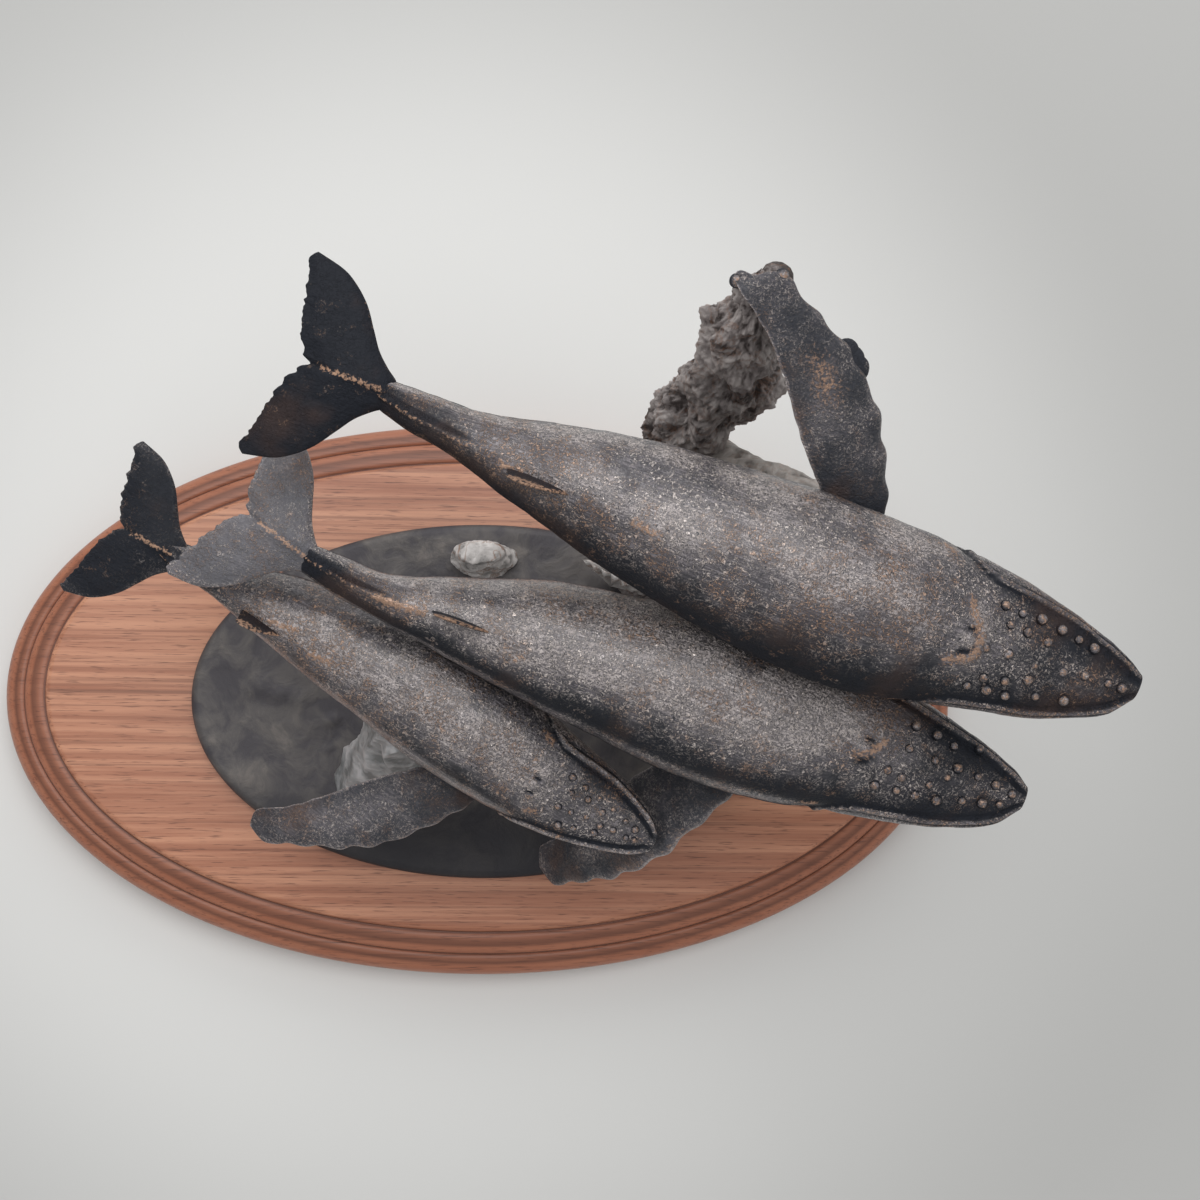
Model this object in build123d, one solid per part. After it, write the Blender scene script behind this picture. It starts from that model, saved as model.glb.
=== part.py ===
from build123d import *
import math
import os

# Three bronze humpback whales on a reef, over a moulded walnut board.
# +X is the way the whales swim, +Y is the back, +Z is up.
# The origin is the centre of the felt's underside. Lengths are in millimetres.

# Board and felt
board_length = 304.8
board_width = 177.8
board_thickness = 18.0
felt_thickness = 2.0
felt_margin = 8.0
moulding_width = 14.0
bead_width = 7.0
bead_height_share = 0.72
cove_height_share = 0.88
# Roundings of the moulded edge, as shares of each step's width and rise
bead_shares = [(0.0, 0.0), (0.16, 0.62), (0.70, 1.0)]
cove_shares = [(0.0, 0.0), (0.30, 1.0)]
table_shares = [(0.0, 0.0), (0.06, 1.0)]
bead_foot_share = 0.42

# Sea-floor casting
floor_length = 184.0
floor_width = 112.0
floor_thickness = 6.0
floor_round_radius = 2.6
floor_offset_y = -2.0

# Screws that hold the casting to the board
screw_spacing = 132.0
screw_count = 2
screw_diameter = 4.0
screw_head_diameter = 7.6
screw_head_height = 2.6
screw_hole_diameter = 4.6
thread_clearance = 0.05
thread_depth = 4.4
thread_end_room = 0.4
counterbore_diameter = 12.0
counterbore_depth = 6.0
washer_diameter = 10.0
washer_hole_diameter = 4.3
washer_thickness = 0.9

# Whales: length, place of the snout's tip, and angles in degrees
large_length = 229.5
large_nose_x = 168.5
large_nose_y = -2.9
large_nose_z = 143.5
large_heading = -19.9
large_pitch = -1.2
large_head_bank = 10.0
large_tail_bank = 24.0

middle_length = 223.0
middle_nose_x = 146.5
middle_nose_y = -30.4
middle_nose_z = 117.0
middle_heading = -18.9
middle_pitch = -1.2
middle_head_bank = 6.0
middle_tail_bank = 10.0

calf_length = 172.0
calf_nose_x = 47.6
calf_nose_y = -44.7
calf_nose_z = 100.5
calf_heading = -29.7
calf_pitch = -0.8
calf_head_bank = 12.0
calf_tail_bank = 38.0

# Body sections from the snout to the flukes, as shares of a whale's length:
# distance from the snout, half width, height above and depth below the widest line
body_section_shares = [
    (0.002, 0.012, 0.007, 0.010),
    (0.030, 0.036, 0.015, 0.028),
    (0.090, 0.059, 0.027, 0.055),
    (0.160, 0.077, 0.043, 0.078),
    (0.230, 0.088, 0.061, 0.096),
    (0.320, 0.099, 0.084, 0.107),
    (0.420, 0.100, 0.093, 0.104),
    (0.520, 0.088, 0.089, 0.095),
    (0.620, 0.073, 0.078, 0.079),
    (0.720, 0.050, 0.060, 0.058),
    (0.810, 0.028, 0.038, 0.036),
    (0.890, 0.021, 0.026, 0.025),
    (0.950, 0.020, 0.014, 0.014),
]
body_section_count = 17
body_section_crowding_share = 0.5
body_corners = 22
# Sideways bow of each whale's middle line, and the rise of its tail, at those sections
large_bow_shares = [-0.004, -0.012, -0.015, -0.017, -0.021, -0.028, -0.027, -0.024, -0.018,
                    -0.016, -0.012, -0.006, 0.002]
middle_bow_shares = [-0.009, -0.015, -0.018, -0.017, -0.018, -0.021, -0.023, -0.025, -0.028,
                     -0.035, -0.042, -0.034, -0.020]
calf_bow_shares = [-0.006, -0.005, -0.005, -0.006, -0.003, 0.007, 0.016, 0.019, 0.020, 0.016,
                   0.010, 0.004, 0]
tail_rise_shares = [0, 0.001, 0.003, 0.005, 0.006, 0.007, 0.006, 0.005, 0.005, 0.008, 0.014,
                    0.021, 0.027]

# Dorsal fin: distance from the snout, chord, thickness and height
fin_place_share = 0.705
fin_chord_share = 0.085
fin_thickness_share = 0.018
fin_height_share = 0.030
fin_sweep_share = 0.028
fin_root_share = 0.030
# Sections from the root up, as shares of height, sweep, chord and thickness
fin_section_shares = [(0.0, 0.0, 1.0, 1.0), (0.5, 0.3, 0.72, 0.8), (0.85, 0.75, 0.42, 0.5),
                      (1.0, 1.0, 0.22, 0.3)]

# Flukes: half span, and for each section its place along the lobe, its leading and
# trailing edges back from the snout, and its thickness
fluke_half_span_share = 0.122
fluke_section_shares = [
    (0.00, 0.905, 1.000, 0.0270),
    (0.12, 0.912, 1.007, 0.0220),
    (0.28, 0.924, 1.017, 0.0160),
    (0.50, 0.938, 1.023, 0.0130),
    (0.72, 0.957, 1.029, 0.0105),
    (0.90, 0.985, 1.036, 0.0075),
    (1.00, 1.015, 1.041, 0.0045),
]
fluke_pivot_share = 0.920
fluke_droop_share = 0.014
# Each whale's flukes: size, shift towards the head, turn to its left and roll to its right
large_fluke_size_share = 0.966
large_fluke_shift_share = -0.002
large_fluke_turn = 0.0
large_fluke_roll = 8.0
middle_fluke_size_share = 0.925
middle_fluke_shift_share = -0.007
middle_fluke_turn = 17.4
middle_fluke_roll = 4.0
calf_fluke_size_share = 1.10
calf_fluke_shift_share = 0.020
calf_fluke_turn = -2.2
calf_fluke_roll = 8.0

# Flippers: widest chord and thickness as shares of the whale's length
flipper_chord_share = 0.118
flipper_thickness_share = 0.027
flipper_root_overlap_share = 0.14
blade_corners = 10
knob_count = 7
knob_height_share = 0.07
# Chord, thickness and backward sweep at even steps from root to tip
flipper_chord_shares = [0.70, 0.77, 0.86, 0.95, 0.94, 0.82, 0.66, 0.48, 0.22]
flipper_thick_shares = [1.00, 0.94, 0.86, 0.78, 0.70, 0.62, 0.52, 0.40, 0.18]
flipper_sweep_shares = [0.00, -0.11, -0.16, -0.20, -0.215, -0.20, -0.15, -0.07, 0.03]
# Roots, and tips where nothing carries them: back from the snout, left and up. Then the
# way each leading edge faces: forward, left and up. Bends are shares of the reach, and
# slimness shares narrow the chord
large_left_root_shares = (0.380, 0.074, 0.010)
large_left_lead_shares = (0.69, 0.72, -0.06)
large_left_bend_share = -0.046
large_left_slim_share = 0.81
large_left_tip_reach = 2.0
large_right_root_shares = (0.353, -0.088, -0.078)
large_right_tip_shares = (0.541, -0.057, -0.255)
middle_left_root_shares = (0.382, 0.032, -0.084)
middle_left_tip_shares = (0.497, 0.077, -0.290)
middle_right_root_shares = (0.366, -0.092, -0.078)
middle_right_tip_shares = (0.507, -0.290, -0.300)
middle_right_lead_shares = (0.25, -0.70, -0.05)
middle_right_bend_share = 0.08
middle_right_slim_share = 0.92
calf_left_root_shares = (0.339, 0.070, -0.070)
calf_left_tip_shares = (0.545, 0.090, -0.215)
calf_right_root_shares = (0.337, -0.082, -0.078)
calf_right_tip_shares = (0.580, -0.316, -0.166)
calf_right_lead_shares = (0.45, -0.92, -0.16)
calf_right_bend_share = 0.0
calf_right_slim_share = 0.93
hidden_lead_shares = (0.90, 0.20, 0.40)

# Reef: feet, tops and widths of the rocks. Each section gives its place along the
# rock, its shift across and along the depth, and its width and depth, as shares
rock_corners = 12
rock_rough_share = 0.09
rock_fine_wave_share = 0.7
rock_fine_turn_share = 2.3
rock_twist = 1.3
rock_rings_per_section = 2
spire_foot_x = 55.0
spire_foot_y = 31.0
spire_top_x = 64.0
spire_top_y = 90.5
spire_top_z = 180.0
spire_width = 26.0
spire_depth = 20.0
spire_section_shares = [
    (0.00, 0.05, 0.00, 1.00, 1.05), (0.12, 0.04, 0.10, 0.93, 0.98),
    (0.26, -0.03, 0.40, 0.92, 0.90), (0.38, -0.10, 0.62, 0.93, 0.93),
    (0.48, -0.04, 0.66, 0.92, 0.96), (0.60, 0.13, 0.56, 1.00, 1.00),
    (0.74, 0.11, 0.32, 0.90, 0.95), (0.84, 0.06, 0.16, 0.72, 0.80),
    (0.92, 0.03, 0.06, 0.58, 0.62), (1.00, 0.06, 0.02, 0.40, 0.42)]
ledge_start_x = 60.0
ledge_start_y = 64.0
ledge_start_z = 92.0
ledge_end_x = 98.0
ledge_end_y = 26.0
ledge_end_z = 134.0
ledge_width = 20.0
ledge_depth = 15.0
ledge_section_shares = [
    (0.00, -0.06, 0.00, 0.90, 0.90), (0.18, -0.01, 0.05, 0.92, 0.90),
    (0.40, 0.07, 0.05, 1.00, 0.95), (0.62, 0.15, 0.05, 1.00, 1.00),
    (0.82, 0.08, 0.00, 0.92, 0.92), (1.00, 0.00, 0.00, 0.80, 0.80)]
saddle_foot_x = 50.0
saddle_foot_y = -3.0
saddle_top_x = 57.0
saddle_top_y = -7.0
saddle_top_z = 106.0
saddle_width = 25.0
saddle_depth = 18.0
saddle_section_shares = [
    (0.00, 0.00, 0.00, 1.50, 1.30), (0.15, 0.05, 0.00, 1.15, 1.10),
    (0.40, 0.00, 0.10, 0.85, 0.90), (0.65, -0.10, 0.00, 0.80, 0.90),
    (0.85, 0.00, 0.00, 0.95, 0.95), (1.00, 0.00, 0.00, 1.00, 1.00)]
front_rock_foot_x = -31.0
front_rock_foot_y = -21.0
front_rock_top_x = -25.0
front_rock_top_y = -12.0
front_rock_top_z = 93.0
front_rock_width = 32.0
front_rock_depth = 24.0
front_rock_section_shares = [
    (0.00, 0.00, 0.00, 1.15, 1.10), (0.18, -0.05, 0.00, 1.00, 1.00),
    (0.42, 0.00, 0.05, 0.88, 0.90), (0.70, 0.02, 0.00, 0.74, 0.78),
    (1.00, 0.00, 0.00, 0.60, 0.66)]
back_rock_x = -1.0
back_rock_y = 42.5
back_rock_height = 12.0
back_rock_width = 21.0
back_rock_depth = 12.0
low_rock_section_shares = [
    (0.00, 0.00, 0.00, 1.00, 1.00), (0.45, -0.05, 0.00, 0.86, 0.84),
    (0.80, -0.08, 0.05, 0.62, 0.58), (1.00, -0.10, 0.00, 0.34, 0.30)]
# Hollow in the spire's front face
hollow_x = 73.0
hollow_y = 70.5
hollow_z = 122.0
hollow_width = 14.0
hollow_depth = 12.0
hollow_height = 25.0
hollow_section_shares = [
    (0.00, 0.00, 0.00, 0.20, 0.20), (0.30, 0.00, 0.00, 0.90, 0.85),
    (0.65, 0.00, 0.00, 1.00, 1.00), (1.00, 0.00, 0.00, 0.25, 0.25)]
coral_x = 42.0
coral_y = 35.5
coral_height = 15.0
coral_thickness = 4.0
coral_turn = -28.0
coral_rib_count = 7
coral_rib_width = 1.6
coral_spread = 78.0

# Pins that join the castings, and their room in the holes
pin_diameter = 3.0
pin_length = 13.0
fine_pin_diameter = 2.0
fine_pin_length = 9.0
pin_corners = 6
pin_clearance = 0.1
fluke_pin_share = 0.946
# Places along the upper whale of the pins down into the lower one
large_seat_shares = (0.38, 0.42)
middle_seat_shares = (0.655, 0.69)
pin_search_steps = 60
cut_overrun = 3.0


def flow(places, values, x):
    """Value at x on a smooth curve through a table."""
    last = len(places) - 1
    low = max(0, min(last - 1, sum(1 for place in places[1:-1] if place <= x)))

    def slope(number):
        before, after = max(number - 1, 0), min(number + 1, last)
        return (values[after] - values[before]) / (places[after] - places[before])

    gap = places[low + 1] - places[low]
    t = (x - places[low]) / gap
    start = values[low] * (2 * t**3 - 3 * t**2 + 1) + slope(low) * gap * (t**3 - 2 * t**2 + t)
    end = values[low + 1] * (3 * t**2 - 2 * t**3) + slope(low + 1) * gap * (t**3 - t**2)
    return start + end


def along(shares, t):
    """Value at t, from 0 to 1, on a smooth curve through even steps."""
    return flow([number / (len(shares) - 1) for number in range(len(shares))], shares, t)


def largest(shape):
    """The largest solid of a cut shape."""
    return max(shape.solids(), key=lambda solid: solid.volume)


def skin(rings):
    """Solid with flat facets from ring to ring of points, closed by flat ends."""
    faces = [Face(Wire.make_polygon(rings[0])), Face(Wire.make_polygon(rings[-1]))]
    for low, high in zip(rings, rings[1:]):
        for here in range(len(low)):
            after = (here + 1) % len(low)
            faces.append(Face(Wire.make_polygon([low[here], low[after], high[after]])))
            faces.append(Face(Wire.make_polygon([low[here], high[after], high[here]])))
    return Solid(Shell(faces))


def blade_ring(middle, chord_way, normal, chord, thickness):
    """Lens-shaped ring of points about a fluke, flipper or fin."""
    ring = []
    for corner in range(blade_corners):
        angle = 2 * math.pi * corner / blade_corners
        ring.append(middle + chord_way * (chord / 2 * math.cos(angle))
                    + normal * (thickness / 2 * math.sin(angle)))
    return ring


def apart(first, second):
    """Whether the boxes round two shapes lie clear of each other."""
    one, two = first.bounding_box(), second.bounding_box()
    return (one.min.X > two.max.X or two.min.X > one.max.X or one.min.Y > two.max.Y
            or two.min.Y > one.max.Y or one.min.Z > two.max.Z or two.min.Z > one.max.Z)


class Whale:
    """Axes, body, flukes and flippers of one whale."""

    def __init__(self, length, nose, heading, pitch, head_bank, tail_bank, bow_shares):
        self.length = length
        self.nose = Vector(*nose)
        yaw, climb = math.radians(heading), math.radians(pitch)
        self.forward = Vector(math.cos(yaw) * math.cos(climb), math.sin(yaw) * math.cos(climb),
                              math.sin(climb))
        self.left = Vector(-math.sin(yaw), math.cos(yaw), 0)
        self.up = self.forward.cross(self.left)
        self.head_bank = head_bank
        self.tail_bank = tail_bank
        self.places = [row[0] for row in body_section_shares]
        self.bow_shares = bow_shares

    def bank(self, share):
        """Roll to the right at a distance from the snout, in degrees."""
        return self.head_bank + (self.tail_bank - self.head_bank) * min(share / fin_place_share, 1)

    def rolled(self, bank):
        """Left and up directions after a roll to the right."""
        angle = math.radians(bank)
        left = self.left * math.cos(angle) + self.up * math.sin(angle)
        return left, self.forward.cross(left)

    def size(self, share, column):
        """Half width, height or depth of the body at a distance from the snout."""
        values = [row[column] for row in body_section_shares]
        return flow(self.places, values, share) * self.length

    def middle(self, share):
        """Point of the middle line."""
        bow = flow(self.places, self.bow_shares, share) * self.length
        rise = flow(self.places, tail_rise_shares, share) * self.length
        return self.nose - self.forward * (share * self.length) + self.left * bow + self.up * rise

    def place(self, shares):
        """Point by its distance back from the snout, to the left and up."""
        back, left, up = (share * self.length for share in shares)
        return self.nose - self.forward * back + self.left * left + self.up * up

    def way(self, shares):
        """Direction by its forward, left and up shares."""
        forward, left, up = shares
        return (self.forward * forward + self.left * left + self.up * up).normalized()

    def seat(self, other, share):
        """Point and direction of the joint between two whales at a distance from this snout."""
        here = self.middle(share)
        there_share = (other.nose - here).dot(other.forward) / other.length
        there = other.middle(there_share)
        reach = self.size(share, 1) + self.size(share, 3)
        other_reach = other.size(there_share, 1) + other.size(there_share, 2)
        way = there - here
        return here + way * (reach / (reach + other_reach)), way.normalized()

    def belly(self, x, y):
        """Point of the underside over a place on the board."""
        aim = Vector(x, y, self.nose.Z)
        share = (self.nose - aim).dot(self.forward) / self.length
        return Vector(x, y, self.middle(share).Z - self.size(share, 3))

    def body(self):
        """Trunk through its sections, with the dorsal fin."""
        first, last = self.places[0], self.places[-1]
        rings = []
        for number in range(body_section_count):
            step = number / (body_section_count - 1)
            spread = 1 - body_section_crowding_share
            share = first + (last - first) * (body_section_crowding_share * step**2 + spread * step)
            left, up = self.rolled(self.bank(share))
            width, height, depth = (self.size(share, column) for column in (1, 2, 3))
            ring = []
            for corner in range(body_corners):
                angle = 2 * math.pi * corner / body_corners
                rise = height if math.sin(angle) > 0 else depth
                ring.append(self.middle(share) + left * (width * math.cos(angle))
                            + up * (rise * math.sin(angle)))
            rings.append(ring)
        return largest(skin(rings) + self.fin())

    def fin(self):
        """Low dorsal fin that leans back."""
        left, up = self.rolled(self.bank(fin_place_share))
        base = self.size(fin_place_share, 2) - fin_root_share * self.length
        root = self.middle(fin_place_share) + up * base
        rise = (fin_root_share + fin_height_share) * self.length
        rings = []
        for height, sweep, chord, thick in fin_section_shares:
            back = self.forward * (sweep * fin_sweep_share * self.length)
            rings.append(blade_ring(root + up * (rise * height) - back, self.forward, left,
                                    chord * fin_chord_share * self.length,
                                    thick * fin_thickness_share * self.length))
        return skin(rings)

    def flukes(self, size, shift, turn, roll):
        """Tail flukes, lofted from tip to tip."""
        left, _ = self.rolled(roll)
        angle = math.radians(turn)
        forward = self.forward * math.cos(angle) - left * math.sin(angle)
        left = left * math.cos(angle) + self.forward * math.sin(angle)
        up = forward.cross(left)
        pivot = self.middle(fluke_pivot_share)
        rings = []
        ends = [(-1, row) for row in fluke_section_shares[:0:-1]]
        ends += [(1, row) for row in fluke_section_shares]
        for side, (span, lead, trail, thick) in ends:
            back = (((lead + trail) / 2 - fluke_pivot_share) * size - shift) * self.length
            across = side * span * fluke_half_span_share * size * self.length
            droop = fluke_droop_share * span**2 * self.length
            middle = pivot - forward * back + left * across - up * droop
            rings.append(blade_ring(middle, forward, up, (trail - lead) * size * self.length,
                                    thick * self.length))
        return skin(rings)

    def flipper_slice(self, root, tip, lead, bend, slim, t):
        """Middle, directions, chord and thickness of a flipper at t, from 0 to 1."""
        span = (tip - root).normalized()
        reach = (tip - root).length
        chord_way = (lead - span * lead.dot(span)).normalized()
        normal = span.cross(chord_way)
        widest = flipper_chord_share * self.length
        full = widest * along(flipper_chord_shares, t)
        chord = full * slim
        wave = (1 - math.cos(2 * math.pi * knob_count * t)) / 2
        knob = widest * knob_height_share * slim * wave
        back = widest * along(flipper_sweep_shares, t) + (full - chord) / 2
        out = reach * (t * (1 + flipper_root_overlap_share) - flipper_root_overlap_share)
        arch = normal * (bend * reach * math.sin(math.pi * t))
        middle = root + span * out + chord_way * (knob / 2 - back) + arch
        thick = flipper_thickness_share * self.length * along(flipper_thick_shares, t)
        return middle, chord_way, normal, chord + knob, thick

    def flipper(self, *plan):
        """Flipper from root to tip, with knobs along its leading edge."""
        steps = 2 * knob_count
        return skin([blade_ring(*self.flipper_slice(*plan, step / steps))
                     for step in range(steps + 1)])

    def flipper_pin(self, *plan):
        """Point where a flipper's middle line leaves the trunk, and the way on from there."""
        line = [self.flipper_slice(*plan, step / pin_search_steps)[0]
                for step in range(pin_search_steps)]
        place = next(number for number, point in enumerate(line)
                     if not self.trunk.is_inside(point))
        return line[place], (line[place + 1] - line[place]).normalized()


def rock(start, end, width, depth, section_shares, level=True):
    """Craggy rock from start to end. Rings lie level, or square to the way it runs."""
    start, end = Vector(*start), Vector(*end)
    way = end - start
    facing = Vector(0, 0, 1) if level else way.normalized()
    across = Vector(1, 0, 0) if level else Vector(0, 0, 1).cross(facing).normalized()
    other = facing.cross(across)
    places = [row[0] for row in section_shares]
    ring_count = rock_rings_per_section * (len(section_shares) - 1)
    rings = []
    for number in range(ring_count + 1):
        step = number / ring_count
        values = [flow(places, [row[column] for row in section_shares], step)
                  for column in (1, 2, 3, 4)]
        shift_across, shift_other, wide, deep = values
        phase = rock_twist * number
        middle = start + way * step + across * (shift_across * width) + other * (shift_other * depth)
        ring = []
        for corner in range(rock_corners):
            angle = 2 * math.pi * corner / rock_corners
            fine = math.sin(5 * angle + rock_fine_turn_share * phase)
            wave = math.sin(3 * angle + phase) + rock_fine_wave_share * fine
            reach = (1 + rock_rough_share * wave) / 2
            ring.append(middle + across * (width * wide * reach * math.cos(angle))
                        + other * (depth * deep * reach * math.sin(angle)))
        rings.append(ring)
    return skin(rings)


def step_ring(outer, rounding, width, foot, bottom, top):
    """Oval slab of the board with a rounded top edge."""
    rows = [(outer, foot)]
    rows += [(outer + width * inward, bottom + (top - bottom) * rise) for inward, rise in rounding]
    slabs = []
    for inset, height in rows:
        face = Ellipse(board_length / 2 - inset, board_width / 2 - inset).face()
        slabs.append(Pos(0, 0, height) * face)
    return loft(slabs, ruled=True)


def upright(x, y, bottom, top, diameter):
    """Upright cylinder."""
    return Pos(x, y, bottom) * extrude(Circle(diameter / 2).face(), top - bottom)


def pin(middle, way, diameter, length):
    """Joining pin about a point."""
    plane = Plane(origin=middle - way * (length / 2), z_dir=way)
    return extrude(plane * RegularPolygon(diameter / 2, pin_corners), length, dir=way)


def screw_places():
    """Places of the base screws along the board."""
    step = screw_spacing / (screw_count - 1)
    return [(-screw_spacing / 2 + step * number, floor_offset_y) for number in range(screw_count)]


def make_board():
    """Moulded board with its counterbored screw holes."""
    base = felt_thickness
    bead_top = base + board_thickness * bead_height_share
    bead_foot = base + board_thickness * bead_foot_share
    cove_top = base + board_thickness * cove_height_share
    top = base + board_thickness
    board = step_ring(0, bead_shares, bead_width, base, bead_foot, bead_top)
    board += step_ring(bead_width, cove_shares, moulding_width - bead_width, base, bead_top, cove_top)
    board += step_ring(moulding_width, table_shares, moulding_width, base, cove_top, top)
    for x, y in screw_places():
        board -= upright(x, y, base - cut_overrun, base + counterbore_depth, counterbore_diameter)
        board -= upright(x, y, base, top + cut_overrun, screw_hole_diameter)
    return largest(board)


def make_felt():
    """Felt under the board."""
    face = Ellipse(board_length / 2 - felt_margin, board_width / 2 - felt_margin).face()
    return extrude(face, felt_thickness)


def make_floor():
    """Oval sea-floor casting with blind threaded holes."""
    bottom = felt_thickness + board_thickness
    face = Ellipse(floor_length / 2, floor_width / 2).face()
    floor = Pos(0, floor_offset_y, bottom) * extrude(face, floor_thickness)
    floor = chamfer(floor.faces().sort_by(Axis.Z)[-1].outer_wire().edges(), floor_round_radius)
    hole = screw_diameter + 2 * thread_clearance
    for x, y in screw_places():
        floor -= upright(x, y, bottom, bottom + thread_depth, hole)
    return largest(floor)


def make_screws():
    """Pan-head screws and the washers under their heads."""
    seat = felt_thickness + counterbore_depth
    top = felt_thickness + board_thickness + thread_depth - thread_end_room
    screws, washers = [], []
    for x, y in screw_places():
        face = seat - washer_thickness
        head = upright(x, y, face - screw_head_height, face, screw_head_diameter)
        screws.append(head + upright(x, y, face, top, screw_diameter))
        ring = upright(x, y, face, seat, washer_diameter)
        washers.append(ring - upright(x, y, face, seat, washer_hole_diameter))
    return screws, washers


def make_coral():
    """Upright fan of coral with ribs on both faces."""
    base = felt_thickness + board_thickness + floor_thickness
    face = Plane(origin=(coral_x, coral_y, base), x_dir=(1, 0, 0), z_dir=(0, -1, 0))
    half_spread = coral_spread / 2
    reach = Vector(0, coral_height, 0)
    left_end = reach.rotate(Axis.Z, half_spread)
    right_end = reach.rotate(Axis.Z, -half_spread)
    rim = ThreePointArc(left_end, reach, right_end)
    outline = make_face([Line((0, 0), left_end), rim, Line(right_end, (0, 0))])
    fan = extrude(outline, coral_thickness / 4, both=True)
    for number in range(coral_rib_count):
        turn = half_spread - coral_spread * number / (coral_rib_count - 1)
        rib = Pos(0, coral_height / 2, 0) * Box(coral_rib_width, coral_height, coral_thickness)
        fan += Rot(0, 0, turn) * rib
    return face * Rot(0, coral_turn, 0) * fan


def pin_plans():
    """Point, direction, diameter and length of each joining pin."""
    plans = []
    for whale, shift in ((large, large_fluke_shift_share), (middle, middle_fluke_shift_share),
                         (calf, calf_fluke_shift_share)):
        plans.append((whale.middle(fluke_pin_share - shift), whale.forward, "fine"))
    for whale, *plan in flipper_plans.values():
        plans.append((*whale.flipper_pin(*plan), "fine"))
    for share in large_seat_shares:
        plans.append((*large.seat(middle, share), "thick"))
    for share in middle_seat_shares:
        plans.append((*middle.seat(calf, share), "thick"))
    upright_way = Vector(0, 0, 1)
    plans.append((middle.belly(saddle_top_x, saddle_top_y), upright_way, "thick"))
    plans.append((calf.belly(front_rock_top_x, front_rock_top_y), upright_way, "thick"))
    for x, y in ((spire_foot_x, spire_foot_y), (saddle_foot_x, saddle_foot_y),
                 (front_rock_foot_x, front_rock_foot_y), (back_rock_x, back_rock_y)):
        plans.append((Vector(x, y, floor_top), upright_way, "fine"))
    return plans


floor_top = felt_thickness + board_thickness + floor_thickness
large = Whale(large_length, (large_nose_x, large_nose_y, large_nose_z), large_heading,
              large_pitch, large_head_bank, large_tail_bank, large_bow_shares)
middle = Whale(middle_length, (middle_nose_x, middle_nose_y, middle_nose_z), middle_heading,
               middle_pitch, middle_head_bank, middle_tail_bank, middle_bow_shares)
calf = Whale(calf_length, (calf_nose_x, calf_nose_y, calf_nose_z), calf_heading,
             calf_pitch, calf_head_bank, calf_tail_bank, calf_bow_shares)

large_body = large.body()
middle_body = largest(middle.body() - large_body)
calf_body = largest(calf.body() - middle_body)
bodies = [large_body, middle_body, calf_body]
for whale, body in zip((large, middle, calf), bodies):
    whale.trunk = body

spire_top = Vector(spire_top_x, spire_top_y, spire_top_z)
hidden_lead = large.way(hidden_lead_shares)
flipper_plans = {
    "large_whale_left_flipper": (large, large.place(large_left_root_shares),
                                 spire_top + Vector(0, large_left_tip_reach, 0),
                                 large.way(large_left_lead_shares), large_left_bend_share,
                                 large_left_slim_share),
    "large_whale_right_flipper": (large, large.place(large_right_root_shares),
                                  large.place(large_right_tip_shares), hidden_lead, 0, 1),
    "middle_whale_left_flipper": (middle, middle.place(middle_left_root_shares),
                                  middle.place(middle_left_tip_shares), hidden_lead, 0, 1),
    "middle_whale_right_flipper": (middle, middle.place(middle_right_root_shares),
                                   middle.place(middle_right_tip_shares),
                                   middle.way(middle_right_lead_shares), middle_right_bend_share,
                                   middle_right_slim_share),
    "calf_left_flipper": (calf, calf.place(calf_left_root_shares),
                          calf.place(calf_left_tip_shares), hidden_lead, 0, 1),
    "calf_right_flipper": (calf, calf.place(calf_right_root_shares),
                           calf.place(calf_right_tip_shares), calf.way(calf_right_lead_shares),
                           calf_right_bend_share, calf_right_slim_share),
}
parts = {
    "large_whale_body": large_body,
    "middle_whale_body": middle_body,
    "calf_body": calf_body,
    "large_whale_flukes": large.flukes(large_fluke_size_share, large_fluke_shift_share,
                                       large_fluke_turn, large_fluke_roll),
    "middle_whale_flukes": middle.flukes(middle_fluke_size_share, middle_fluke_shift_share,
                                         middle_fluke_turn, middle_fluke_roll),
    "calf_flukes": calf.flukes(calf_fluke_size_share, calf_fluke_shift_share, calf_fluke_turn,
                               calf_fluke_roll),
}
for name, (whale, *plan) in flipper_plans.items():
    parts[name] = whale.flipper(*plan)
for name in parts:
    if name.endswith(("flukes", "flipper")):
        for body in bodies:
            if not apart(parts[name], body):
                parts[name] = largest(parts[name] - body)

rocks = {
    "reef_spire": rock((spire_foot_x, spire_foot_y, floor_top), spire_top, spire_width,
                       spire_depth, spire_section_shares),
    "reef_ledge": rock((ledge_start_x, ledge_start_y, ledge_start_z),
                       (ledge_end_x, ledge_end_y, ledge_end_z), ledge_width, ledge_depth,
                       ledge_section_shares, level=False),
    "reef_saddle": rock((saddle_foot_x, saddle_foot_y, floor_top),
                        (saddle_top_x, saddle_top_y, saddle_top_z), saddle_width,
                        saddle_depth, saddle_section_shares),
    "front_rock": rock((front_rock_foot_x, front_rock_foot_y, floor_top),
                       (front_rock_top_x, front_rock_top_y, front_rock_top_z),
                       front_rock_width, front_rock_depth, front_rock_section_shares),
    "back_rock": rock((back_rock_x, back_rock_y, floor_top),
                      (back_rock_x, back_rock_y, floor_top + back_rock_height),
                      back_rock_width, back_rock_depth, low_rock_section_shares),
}
hollow = rock((hollow_x, hollow_y, hollow_z), (hollow_x, hollow_y, hollow_z + hollow_height),
              hollow_width, hollow_depth, hollow_section_shares)
rocks["reef_spire"] = largest(rocks["reef_spire"] - hollow)
rocks["reef_ledge"] = largest(rocks["reef_ledge"] - rocks["reef_spire"])
for name, shape in rocks.items():
    for carried in list(parts.values()):
        if not apart(shape, carried):
            shape = largest(shape - carried)
    rocks[name] = shape
parts.update(rocks)
parts["base_board"] = make_board()
parts["felt_pad"] = make_felt()
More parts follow.
